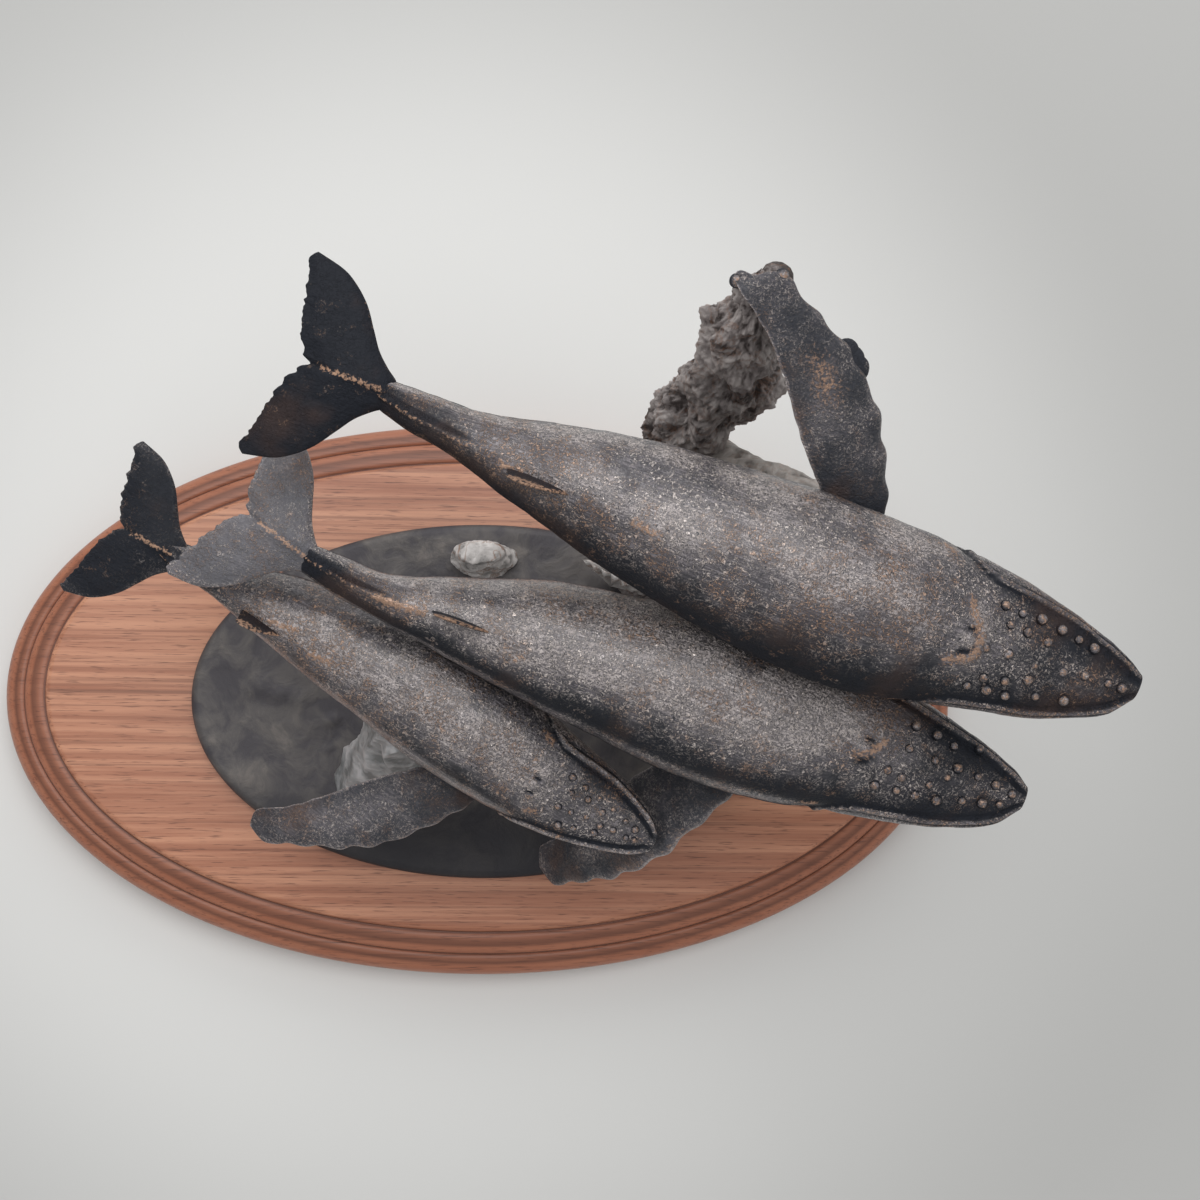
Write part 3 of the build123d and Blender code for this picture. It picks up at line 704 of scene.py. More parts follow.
    def middle(self, share: float) -> Vector:
        """Point of the middle line at a distance from the snout."""
        bow = flow(self.places, self.bow_shares, share) * self.length
        lift = flow(self.places, self.tail_rise_shares, share) * self.length
        back = self.forward * (share * self.length)
        return Vector(self.nose) - back + self.left * bow + self.up * lift

    def place(self, shares: Triple) -> Vector:
        """Point by its distance back from the snout, to the left and up, as shares."""
        back, left, up = (share * self.length for share in shares)
        return Vector(self.nose) - self.forward * back + self.left * left + self.up * up

    def way(self, shares: Triple) -> Vector:
        """Direction by its forward, left and up shares."""
        forward, left, up = shares
        return (self.forward * forward + self.left * left + self.up * up).normalized()

    def mouth(self, share: float, side_angle: float, girth: float) -> Triple:
        """Relief, wear and bare metal of the lips, the mouth line and the lower jaw.

        Args:
            share: distance from the snout.
            side_angle: angle above the widest line, in degrees.
            girth: radius of the section.

        Returns:
            How far the skin stands out, its wear and its bare metal.
        """
        if share > 0.30:
            return 0.0, 0.0, 0.0
        end = self.mouth_place_shares[-1]
        line = flow(self.mouth_place_shares, self.mouth_angles, min(share, end))
        above = math.radians(side_angle - line) * girth
        above_lip, above_groove = above + self.lip_drop, above + self.jaw_groove_drop
        active = plateau(share, 0.0, 0.02, end - 0.01, end + 0.02)
        groove = -0.85 * hill(above, 0.50) - 0.65 * hill(above_groove, 0.50)
        lip = 0.55 * hill(above_lip, 0.8)
        inset = -0.6 * plateau(above, -0.4, 1.0, 2.0, 16.0)
        jaw = plateau(above, -26.0, -12.0, -4.0, -2.6)
        rub = hill(above_lip, 0.75)
        wear = jaw - 0.7 * hill(above, 0.6) - 0.5 * hill(above_groove, 0.6)
        # the lip's pale rub, raised further by the right side's painted rim sheen
        wear += (1.2 + 0.45 * self.painted_rim_sheen[1]) * rub
        return (groove + lip + inset) * active, wear * active, 0.45 * active * rub

    def pleats(self, share: float, angle: float) -> float:
        """Relief of the throat grooves at an angle below the widest line."""
        below = -angle if angle < 0 else angle - 180
        if share > 0.60 or below < 8:
            return 0.0
        active = plateau(share, 0.02, 0.06, 0.46, 0.60) * plateau(below, 8, 18, 162, 172)
        beat = 0.5 + 0.5 * math.cos(math.radians(below) * self.pleat_count)
        return -self.pleat_depth * active * beat**3

    def skin(self, turn: float, run: float) -> Spot:
        """Point of the body and its wear, for a turn about it and a run along it."""
        share = self.places[0] + 0.950 * run**1.12  # rings lie closer at the snout
        angle = (turn * 360 + 180) % 360 - 180
        spin = math.radians(angle)
        left, up, (width, height, depth) = self.section(share)
        fall = rise(0.86, 0.952, share)
        width, height = width * (1 - 0.30 * fall), height * (1 - 0.85 * fall)
        if run <= 0.0 or run >= 1.0:
            width = height = depth = 0.0
        across, over = math.cos(spin), math.sin(spin)
        rising = height if over > 0 else depth
        out = (left * across + up * over).normalized()
        at = self.middle(share) + left * (width * across) + up * (
            rising * self.crown(share, over))
        side_angle = angle if angle <= 90 else 180 - angle
        if angle < -90:
            side_angle = -180 - angle
        relief, wear, bare = self.mouth(share, side_angle, (width + rising) / 2)
        relief += self.pleats(share, angle)

        # ridge of the snout, mound of the blowholes and their slits
        top = angle - 90
        rostrum = plateau(share, 0.01, 0.05, 0.17, 0.20)
        relief += 0.45 * hill(top, 9) * rostrum
        mound = hill(share - self.blowhole_share, 0.017) * hill(top, 24)
        relief += 1.2 * mound
        wear += 0.9 * mound
        for slit in (-1, 1):
            aim = slit * (4 + 6 * rise(0.200, 0.228, share))
            slot = hill(share - self.blowhole_share - 0.003, 0.0095) * hill(top - aim, 2.8)
            relief -= 1.3 * slot
            wear -= 3.0 * slot

        # ridge of the tail stock, bare on top, and the eye
        stock = plateau(share, 0.76, 0.82, 0.93, 0.975)
        relief += 0.9 * hill(top, 9) * stock
        bare += 0.75 * hill(top, 6.5) * stock * (0.8 + 0.5 * noise.noise(at / 5))
        wear -= 0.8 * hill(top + 14, 8) * stock
        eye_arc = math.radians(side_angle - 2) * (width + rising) / 2
        eye = math.hypot((share - self.eye_share) * self.length, eye_arc)
        relief += 0.5 * hill(eye, 1.5) - 0.6 * hill(eye - 2.6, 0.7)

        # rubbing of the back, partly a painted sheen; a painted highlight along the crest;
        # rubbing of the head with a painted sheen; and a painted sheen strip along each side's
        # outline
        bank = self.bank(share)
        wear += 1.05 * hill(top + 17, 51) * plateau(share, 0.10, 0.27, 0.72, 0.99)
        wear += self.painted_crest_highlight * hill(top + 0.8 * bank, 26) * plateau(
            share, 0.20, 0.34, 0.66, 0.86)
        wear += self.head_polish_and_sheen * hill(top, 44) * rise(0.28, 0.16, share)
        strip, tilt, band = ((self.painted_rim_sheen[0], 37 - bank, 18) if across > 0 else
                             (self.painted_rim_sheen[1], 12 + bank, 9))
        wear += strip * hill(side_angle - tilt, band) * plateau(share, 0.20, 0.32, 0.90, 0.98)

        # copper rubs and the lumps of the casting
        copper = self.copper(at)
        relief += 0.30 * copper
        bare += copper
        seed = Vector((self.seed, 0, 0))
        lumps = 0.55 * rough(at + seed, 22, 2) + 0.14 * rough(at + seed, 3.5, 3)
        relief += lumps * rise(0.0, 0.05, share)
        relief *= plateau(run, 0.0, 0.02, 0.97, 1.0)
        at += out * (relief * self.length / self.relief_length)
        return at, max(0.0, wear), max(0.0, bare)

    def copper(self, at: Vector) -> float:
        """Bare metal at a point from the rubbed lines near it."""
        most = 0.0
        for line in self.rubs:
            for start, end in zip(line, line[1:]):
                reach = end - start
                t = max(0.0, min(1.0, (at - start).dot(reach) / max(reach.length_squared, 0.01)))
                away = (at - start - reach * t).length
                if away < 4.0:
                    most = max(most, hill(away, 1.45))
        return most

    def on_skin(self, share: float, angle: float) -> tuple[Vector, Vector]:
        """Point of the smooth body and the way out of it there, for an angle in degrees."""
        across, over = math.cos(math.radians(angle)), math.sin(math.radians(angle))
        left, up, (width, height, depth) = self.section(share)
        rising = height if over > 0 else depth
        at = self.middle(share) + left * (width * across) + up * (
            rising * self.crown(share, over))
        return at, (left * (across / width) + up * (over / rising)).normalized()

    def marked(self, mark: Mark) -> tuple[Vector, Vector]:
        """Point of the back under a mark, seen from above.

        Args:
            mark: its distances behind the snout and left of the middle line, in thousandths.

        Returns:
            The point of the smooth body and the way out of it there.
        """
        share = min(mark[0] * PER_MILLE, self.mark_end_share)
        middle, lateral = self.middle(share), mark[1] * PER_MILLE

        def miss(angle: float) -> float:
            """How far the point at an angle lies from the mark."""
            at, _ = self.on_skin(share, angle)
            return abs((at - middle).dot(self.left) - lateral * self.length)

        return self.on_skin(share, min(range(6, 175), key=miss))

    def build_body(self, material: Material) -> None:
        """Trunk with its mouth, pleats, eyes, tubercles, ridge and dorsal fin."""
        self.rubs = [[self.marked(mark)[0] for mark in line] for line in self.copper_lines]
        bm = bmesh.new()
        add_ball(bm, *self.trunk_grid, self.skin)
        add_ball(bm, *self.fin_grid, self.fin)
        for number, mark in enumerate(self.tubercles):
            at, out = self.marked(mark)
            radius = self.tubercle_radius + 0.20 * math.sin(number * 2.4 + self.seed)
            radius *= self.length / self.relief_length
            add_dome(bm, at - out * 0.35, out, radius, radius * 0.95, 0.75)
        publish(bm, self.name + "_trunk", [self.name + "_body"], material, 1)

    def fin(self, turn: float, run: float) -> Spot:
        """Point of the low, hooked dorsal fin and its wear."""
        left, up = self.rolled(self.bank(self.fin_place_share))
        base = self.size(self.fin_place_share, 2) - self.fin_root_share * self.length
        root = self.middle(self.fin_place_share) + up * base
        total = (self.fin_root_share + self.fin_height_share) * self.length
        close = rounded(0.9, run) * rise(0.0, 0.04, run)
        chord, thick, back = (share * self.length * along(table, run) for share, table in (
            (self.fin_chord_share, (1.1, 1.0, 0.88, 0.62, 0.30)),
            (self.fin_thickness_share, (0.62, 0.46, 0.36, 0.28, 0.24)),
            (self.fin_sweep_share, (0.0, 0.08, 0.22, 0.5, 1.0))))
        spin = turn * math.tau
        at = root + up * (total * run) - self.forward * back
        at += self.forward * (chord / 2 * math.cos(spin) * close)
        at += left * (thick / 2 * math.sin(spin) * close)
        edge = rise(0.70, 0.85, run) + rise(0.55, 0.9, math.cos(spin)) * rise(0.35, 0.5, run)
        return at, 0.4 * rise(0.5, 0.9, run), 0.9 * min(1.0, edge)

    def fluke(self, turn: float, run: float) -> Spot:
        """Point of the tail flukes and its wear, for a turn about and a run across them."""
        left, _ = self.rolled(self.fluke_roll)
        angle = math.radians(self.fluke_turn)
        forward = self.forward * math.cos(angle) - left * math.sin(angle)
        left = left * math.cos(angle) + self.forward * math.sin(angle)
        up = forward.cross(left)
        reach = 2 * run - 1
        span = abs(reach)
        lead, trail, thick = (flow(self.fluke_spans, table, span) for table in (
            self.fluke_lead_shares, self.fluke_trail_shares, self.fluke_thick_shares))
        close = rounded(0.91, span)
        spin = turn * math.tau
        chord = math.cos(spin)
        teeth = noise.noise(Vector((reach * 13 + self.seed, 0, 0))) * 0.0040
        teeth += noise.noise(Vector((reach * 29 + self.seed, 5, 0))) * 0.0022
        teeth = (teeth - 0.002) * rise(0.0, 0.08, span) * rise(-0.55, -1.0, chord)
        trail -= 0.010 * hill(span, 0.035)
        lead, trail = (value - self.fluke_pivot_share for value in (lead, trail))
        half = (trail - lead) / 2 * close
        back = (lead + trail) / 2 - half * chord + teeth * close
        belly = math.sin(spin) * (1 + 0.4 * chord) * (0.25 + 0.75 * close)
        edge = 1 - 0.35 * rise(0.4, 1.0, -chord)
        height = thick * self.length / 2 * belly * edge
        height += 1.1 * hill(span, 0.05) * math.sin(spin) * rise(-1.0, 0.4, chord)
        pivot = self.middle(self.fluke_pivot_share)
        shift = (back * self.fluke_size - self.fluke_shift_share) * self.length
        across = reach * self.fluke_half_span_share * self.fluke_size * self.length
        droop = self.fluke_droop_share * span**2 * self.length
        at = pivot - forward * shift + left * across + up * (height - droop)
        at += up * (0.30 * rough(at, 6.0, 3) * close)
        ridge = hill(span, 0.035) * plateau(chord, -0.95, -0.6, 0.7, 0.98)
        wear = 0.30 + 0.35 * rise(0.70, 1.0, chord) + 0.25 * rise(0.85, 1.0, -chord)
        wear += 0.35 * rise(0.75, 1.0, span)
        bare = 0.9 * ridge + 0.32 * rise(0.86, 1.0, chord)
        return at, wear * self.fluke_polish, bare * (1.0 if math.sin(spin) > 0 else 0.3)

    def build_flukes(self, material: Material) -> None:
        """Tail flukes with a ragged trailing edge and a ridge to the notch."""
        bm = bmesh.new()
        add_ball(bm, *self.fluke_grid, self.fluke)
        publish(bm, self.name + "_tail", [self.name + "_flukes"], material, 1)

    def build_flipper(self, plan: FlipperPlan, material: Material) -> None:
        """Long flipper with knobs along its leading edge.

        Args:
            plan: where it starts and ends, and how it lies.
            material: its finish.
        """
        span = (plan.tip - plan.root).normalized()
        reach = (plan.tip - plan.root).length
        chord_way = (plan.lead - span * plan.lead.dot(span)).normalized()
        normal = span.cross(chord_way)
        widest = self.flipper_chord_share * self.length
        thickest = self.flipper_thickness_share * self.length

        def place(turn: float, run: float) -> Spot:
            """Point of the flipper, its wear and its bare metal."""
            t, spin = run, turn * math.tau
            full = widest * (along(self.flipper_chord_shares, t) + (
                plan.blunt_share + plan.round_share) * rise(0.80, 0.97, t))
            chord = full * plan.slim
            beat = math.cos(math.tau * self.knob_count * t ** 1.05)
            fade = rise(0.02, 0.12, t)
            knob = widest * self.knob_height_share * plan.slim * (1 - beat) / 2 * fade
            knob *= 0.65 + 0.80 * noise.noise(Vector((t * 9, self.seed, plan.side.value)))
            notch = widest * 0.014 * noise.noise(Vector((t * 22, self.seed + 7, 0)))
            close = rounded(0.97 if plan.blunt_share else 0.94, t) * rise(0.0, 0.03, t)
            back = widest * along(self.flipper_sweep_shares, t) + (full - chord) / 2
            over = self.flipper_root_overlap_share
            out = reach * (t * (1 + over) - over)
            arch = plan.bend * reach * math.sin(math.pi * t)
            across = math.cos(spin)
            out += 22.0 * plan.blunt_share * max(0.0, -across) * rise(0.80, 1.0, t)
            ahead = (chord / 2 + (knob if across > 0 else notch) * abs(across)) * across * close
            thick = thickest * along(self.flipper_thick_shares, t)
            swell = 1 + 0.35 * (1 - beat) / 2 * rise(0.3, 0.9, across) * fade
            height = thick / 2 * math.sin(spin) * (1 + 0.45 * across) * swell * close
            at = plan.root + span * out + chord_way * (ahead - back) + normal * (arch + height)
            at += normal * (0.22 * rough(at, 5.0, 3) * close)
            at.z = min(at.z, self.flipper_top)
            wear = 0.50 + 0.3 * rise(0.72, 1.0, across) + 1.6 * rise(0.93, 1.0, -across)
            wear += 0.5 * hill(t - 0.55, 0.16) * hill(across + 0.1, 0.5)
            wear += 1.4 * rise(0.95, 1.0, across) * plan.round_share / FULL_ROUND
            bare = 0.55 * rise(0.80, 0.97, across) * (0.6 + 0.5 * noise.noise(at / 6))
            bare += 0.75 * hill(t - 0.60, 0.12) * hill(across, 0.45) * plan.blunt_share * 5
            bare += 0.30 * rise(0.88, 1.0, -across) * rise(0.2, 0.5, t)
            return at, wear * rise(0.0, 0.2, t), max(0.0, bare) * rise(0.15, 0.3, t)

        bm = bmesh.new()
        add_ball(bm, *self.flipper_grid, place)
        if plan.blunt_share:  # knobs at the tip, and the dark lump behind the flipper
            upward = normal if normal.z > 0 else -normal
            for turn, inward, run in ((0.0, -0.8, 0.955), (0.5, 0.8, 0.965)):
                at, _, _ = place(turn, run)
                at.z = min(at.z, self.flipper_top - 0.9)
                add_dome(bm, at + chord_way * inward - upward * 0.5, upward, 2.0, 1.5, 1.0)
            for run, radius in ((0.625, 3.6), (0.590, 4.6), (0.555, 4.0)):
                at, _, _ = place(0.0, run)
                add_dome(bm, at - chord_way * 0.8 - upward * 1.3, upward, radius, 2.2)
        side = plan.side.name.lower()
        publish(bm, f"{self.name}_{side}_fin", [f"{self.name}_{side}_flipper"], material,
                1)


# ---- reef


@dataclass
class Rock:
    """One craggy rock casting. Lengths are in millimetres."""

    name: str
    start: Triple
    end: Triple
    width: float
    depth: float
    section_shares: Sequence[Table]  # place, two shifts, width and depth
    level: bool = True
    crag: float = 1.5
    crag_size: float = 6.0
    squash: float = 1.0  # under 1, the flakes stand on end
    lump: float = 0.0
    lump_size: float = 17.0
    shelf: float = 0.0
    shelf_height: float = 7.0
    plate: float = 0.0
    plate_size: float = 9.0
    plate_steps: float = 5.0
    folds: float = 0.0
    rough_share: float = 0.09
    section_twist: float = 2.6  # turn of the rough outline from one section to the next
    cap_share: float = 0.05
    around: int = 150
    runs: int = 220
    hollow: tuple[Vector, float] | None = None
    hollow_depth: float = 4.5
    knob: Vector | None = None

    def place(self, turn: float, run: float) -> Spot:
        """Point of the rock and how high it stands out, for a turn and a run."""
        start, end = Vector(self.start), Vector(self.end)
        way = end - start
        facing = Vector((0, 0, 1)) if self.level else way.normalized()
        across = Vector((1, 0, 0))
        if not self.level:
            across = Vector((0, 0, 1)).cross(facing).normalized()
        other = facing.cross(across)
        step = max(0.0, min(1.0, (run - self.cap_share) / (1 - 2 * self.cap_share)))
        close = min(1.0, run / self.cap_share, (1 - run) / self.cap_share)
        places = [row[0] for row in self.section_shares]
        shift_across, shift_other, wide, deep = (
            flow(places, [row[column] for row in self.section_shares], step)
            for column in (1, 2, 3, 4))
        phase = self.section_twist * step * (len(places) - 1)
        spin = turn * math.tau
        wave = math.sin(3 * spin + phase) + 0.7 * math.sin(5 * spin + 2.3 * phase)
        reach = (1 + self.rough_share * wave) / 2 * close
        out = across * math.cos(spin) + other * math.sin(spin)
        middle = start + way * step + across * (shift_across * self.width)
        middle += other * (shift_other * self.depth)
        at = middle + across * (self.width * wide * reach * math.cos(spin))
        at += other * (self.depth * deep * reach * math.sin(spin))

        # flakes, lumps, layered plates, shelves and folds
        flat = Vector((at.x, at.y, at.z * self.squash))
        finer = flat / self.crag_size * 2.3 + Vector((9, 3, 1))
        flakes = 1 - abs(noise.noise(flat / self.crag_size)) * 2.4
        flakes += 0.6 * (1 - abs(noise.noise(finer)) * 2)
        flakes += 0.5 * rough(flat, self.crag_size * 0.45, 3)
        lumps = self.lump * rough(at + Vector((0, 0, 40)), self.lump_size, 2)
        layers = self.plate_steps * rough(flat + Vector((7, 0, 11)), self.plate_size, 4)
        layers = math.floor(layers) + rise(0.70, 1.0, layers % 1.0)
        phase = (at.z + 4.5 * noise.noise(at / 14) + 2.0 * noise.noise(at / 5)) / self.shelf_height
        ledge = phase % 1.0
        ledge = plateau(ledge, 0.0, 0.8, 0.93, 1.0) - 0.5
        fold = 1 - 2 * abs(math.sin(3.5 * spin + 2.5 * noise.noise(at / 16)))
        lift = (self.crag * (flakes - 1.3) + self.shelf * ledge + self.folds * fold + lumps
                + self.plate * layers) * close
        if self.hollow:
            centre, radius = self.hollow
            dip = hill((at - centre).length, radius)
            lift -= self.hollow_depth * dip
            # painted shade: the hollow is also darkened in the colour
            flakes -= 1.5 * dip
        at = at + out * lift
        if self.level and step <= 0.0:
            at.z = start.z
        high = 0.5 + 0.5 * (flakes - 1.0)
        high += (0.45 * ledge if self.shelf else 0.0) + (0.25 * fold if self.folds else 0.0)
        high += 0.25 * lumps
        return at, max(0.0, min(1.0, high)), 0.0

    def build(self, node: str, material: Material) -> None:
        """Make the rock in place of its node."""
        bm = bmesh.new()
        add_ball(bm, self.around, self.runs, self.place)
        if self.knob:
            add_dome(bm, self.knob, Vector((0, 0, 1)), 4.4, 4.0)
        publish(bm, self.name, [node], material)


@dataclass
class CoralFan:
    """Small upright fan with ribs that spread from its foot."""

    at: Triple = (40.0, 36.0, 26.0)
    height: float = 16.5
    thickness: float = 4.0
    turn: float = -28.0
    spread: float = 96.0
    rib_count: int = 7
    grid: tuple[int, int] = (96, 40)

    def place(self, turn: float, run: float) -> Spot:
        """Point of the fan and how high it stands out."""
        spin = turn * math.tau
        close = rounded(0.8, run) * rise(0.0, 0.03, run)
        across = math.cos(spin)
        angle = math.radians(self.spread / 2) * across
        radius = self.height * run
        beat = 0.5 + 0.5 * math.cos(math.tau * self.rib_count * (across + 1) / 2)
        thick = self.thickness * (0.35 + 0.65 * (1 - beat)) * math.sin(spin) / 2 * close
        local = Vector((radius * math.sin(angle), -thick, radius * math.cos(angle)))
        local.rotate(Matrix.Rotation(math.radians(self.turn), 4, "Z"))
        return Vector(self.at) + local, 0.3 + 0.4 * (1 - beat), 0.0

    def build(self, material: Material) -> None:
        """Make the fan in place of its node."""
        bm = bmesh.new()
        add_ball(bm, *self.grid, self.place)
        publish(bm, "ribbed_coral", ["coral_fan"], material)


# ---- base


@dataclass
class Base:
    """Oval walnut board with a moulded edge, and the sea-floor casting on it."""

    length: float = 304.76
    width: float = 177.79
    foot: float = 2.0
    top: float = 20.0
    bead_width: float = 7.0
    bead_foot: float = 9.56
    bead_top: float = 14.96
    cove_width: float = 7.0
    cove_top: float = 17.84
    floor_length: float = 184.0
    floor_width: float = 112.0
    floor_thickness: float = 6.0
    floor_round: float = 2.6
    floor_offset_y: float = -2.0
    groove: float = 0.35
    edge_break: float = 0.6
    around: int = 256
    floor_rings: int = 40
    floor_lumps: Sequence[tuple[float, float, float, float]] = (  # x, y, radius and height
        (-70.0, 1.5, 5.0, 1.3), (-64.5, -1.2, 3.8, 1.1), (-82.0, 8.0, 2.2, 0.9),
        (-48.0, -9.4, 2.4, 1.1), (-48.7, -18.0, 1.8, 0.9), (-57.4, -3.3, 3.6, 0.7))

    @staticmethod
    def quarter(inset: float, height: float, width: float, lift: float, steps: int = 8
                ) -> list[tuple[float, float]]:
        """Rows of a quarter round that starts upright and ends level."""
        angles = (math.pi / 2 * step / steps for step in range(steps + 1))
        return [(inset + width * (1 - math.cos(angle)), height + lift * math.sin(angle))
                for angle in angles]

    def board_rows(self) -> list[tuple[float, float]]:
        """Profile of the board's edge from the foot up."""
        rows = [(self.edge_break, self.foot), (0.0, self.foot + self.edge_break)]
        rows += self.quarter(0.0, self.bead_foot, self.bead_width - 0.6,
                             self.bead_top - self.bead_foot)
        rows += [(self.bead_width - 0.3, self.bead_top - self.groove),
                 (self.bead_width, self.bead_top - self.groove)]
        rows += self.quarter(self.bead_width, self.bead_top + 0.2, self.cove_width - 1.0,
                             self.cove_top - self.bead_top - 0.2)
        inner = self.bead_width + self.cove_width
        rows += [(inner - 0.5, self.cove_top - self.groove), (inner, self.cove_top - self.groove)]
        rows += self.quarter(inner, self.cove_top + 0.1, 2.0, self.top - self.cove_top - 0.1, 6)
        return rows

    def build_board(self, material: Material) -> None:
        """Make the board in place of its node."""
        bm = bmesh.new()
        add_oval(bm, self.board_rows(), self.length / 2, self.width / 2, self.around)
        wear, bare = surface_layers(bm)
        inner = self.bead_width + self.cove_width
        for vert in bm.verts:
            reach = math.hypot(vert.co.x / self.length, vert.co.y / self.width) * 2
            inset = (1 - reach) * self.width / 2
            # painted shade along the bottoms of the two grooves, kept in the wear layer
            dip = hill(vert.co.z - (self.bead_top - self.groove), 0.25)
            dip += hill(vert.co.z - (self.cove_top - self.groove), 0.25)
            vert[wear] = min(1.0, 0.85 * dip) if inset < inner + 2 else 0.0
            vert[bare] = rise(self.top - 0.2, self.cove_top - 0.3, vert.co.z)
        publish(bm, "moulded_board", ["base_board"], material)

    def build_floor(self, material: Material) -> None:
        """Make the sea-floor casting in place of its node."""
        bm = bmesh.new()
        rows = [(0.0, self.top)]
        rows += self.quarter(0.0, self.top + self.floor_thickness - self.floor_round,
                             self.floor_round, self.floor_round)
        level = self.top + self.floor_thickness
        rows += [(self.floor_round, level, 1 - ring / self.floor_rings)
                 for ring in range(1, self.floor_rings)]
        add_oval(bm, rows, self.floor_length / 2, self.floor_width / 2, self.around,
                 self.floor_offset_y)
        for vert in bm.verts:
            if vert.co.z >= level - 0.01:
                reach = math.hypot(vert.co.x / self.floor_length * 2,
                                   (vert.co.y - self.floor_offset_y) / self.floor_width * 2)
                lift = 0.35 * rough(vert.co, 13.0, 4)
                for x, y, radius, height in self.floor_lumps:
                    away = math.hypot(vert.co.x - x, vert.co.y - y)
                    lift += height * hill(away + 0.5 * rough(vert.co, 4.0, 2), radius * 0.7)
                vert.co.z += lift * rise(0.97, 0.85, reach)
        publish(bm, "sea_bed", ["sea_floor"], material)


# ---- stage


@dataclass
class Studio:
    """Pale floor, soft lamps and the camera."""

    camera_at: Triple = (-1.5, -34.2, 600.4)
    camera_turn: Triple = (6.34, -3.79, 0.48)
    lens: float = 54.48
    floor_tone: str = "#b9b9b7"
    painted_light_pool_tone: str = "#dfdfdd"
    painted_light_pool_at: Triple = (-0.014, 0.022, 0.0)
    painted_light_pool_reach: tuple[float, float] = (0.12, 0.28)
    floor_size: float = 6.0
    room_tone: tuple[str, float] = ("#ffffff", 0.56)
    seen_room_tone: tuple[str, float] = ("#d8d8d6", 1.0)
    aim_at: Triple = (0.0, 0.0, 0.05)
    lamps: Sequence[tuple[str, Triple, float, float]] = (
        ("overhead", (-0.05, 0.38, 1.10), 1.0, 7.0), ("window", (-0.10, 1.30, 0.60), 1.0, 4.0))

    def build_camera(self) -> None:
        """Camera at the photograph's viewpoint."""
        data = bpy.data.cameras.new("viewpoint")
        data.lens = self.lens
        data.sensor_width = 36.0
        data.clip_start = 0.01
        camera = bpy.data.objects.new("viewpoint", data)
        camera.location = Vector(self.camera_at) * MM
        camera.rotation_euler = [math.radians(angle) for angle in self.camera_turn]
        bpy.context.scene.collection.objects.link(camera)
        bpy.context.scene.camera = camera

    def build_floor(self) -> None:
        """Pale floor with a painted pool of light about the figurine."""
        bm = bmesh.new()
        bmesh.ops.create_grid(bm, x_segments=1, y_segments=1, size=self.floor_size)
        mesh = bpy.data.meshes.new("studio_floor")
        bm.to_mesh(mesh)
        bm.free()
        floor = bpy.data.objects.new("studio_floor", mesh)
        bpy.context.scene.collection.objects.link(floor)
        paper = Finish("matt studio paper")
        material, add, place = paper.start()
        # painted pool of light: the floor is paler near the figurine
        away = add("VectorMath", place, self.painted_light_pool_at, operation="DISTANCE", out="Value")
        away = add("MapRange", away, *self.painted_light_pool_reach, **SMOOTH)
        tone = paper.paint(add, self.painted_light_pool_tone, [(away, self.floor_tone)])
        feed(material.node_tree.nodes["Principled BSDF"], {"Base Color": tone, "Roughness": 0.9})
        mesh.materials.append(material)

    def add_lamp(self, name: str, at: Triple, size: float, power: float) -> None:
        """Soft square lamp aimed at the figurine.

        Args:
            name: the lamp's name.
            at: its place, in metres.
            size: its side, in metres.
            power: its power, in watts.
        """
        data = bpy.data.lights.new(name, "AREA")
        data.size = size
        data.energy = power
        lamp = bpy.data.objects.new(name, data)
        lamp.location = at
        aim = Vector(self.aim_at) - Vector(at)
        lamp.rotation_euler = aim.to_track_quat("-Z", "Y").to_euler()
        bpy.context.scene.collection.objects.link(lamp)

    def build_light(self) -> None:
        """Soft overhead light, a window at the back and a bright room."""
        for lamp in self.lamps:
            self.add_lamp(*lamp)
        world = bpy.data.worlds.new("room")
        world.use_nodes = True
        world.node_tree.nodes.clear()
        add = partial(add_node, world.node_tree)
        lit, seen = (add("Background", *tone) for tone in (self.room_tone, self.seen_room_tone))
        add("OutputWorld", add("MixShader", add("LightPath", out="Is Camera Ray"), lit, seen))
        bpy.context.scene.world = world
        bpy.context.scene.view_settings.view_transform = "Standard"


# ---- this figurine


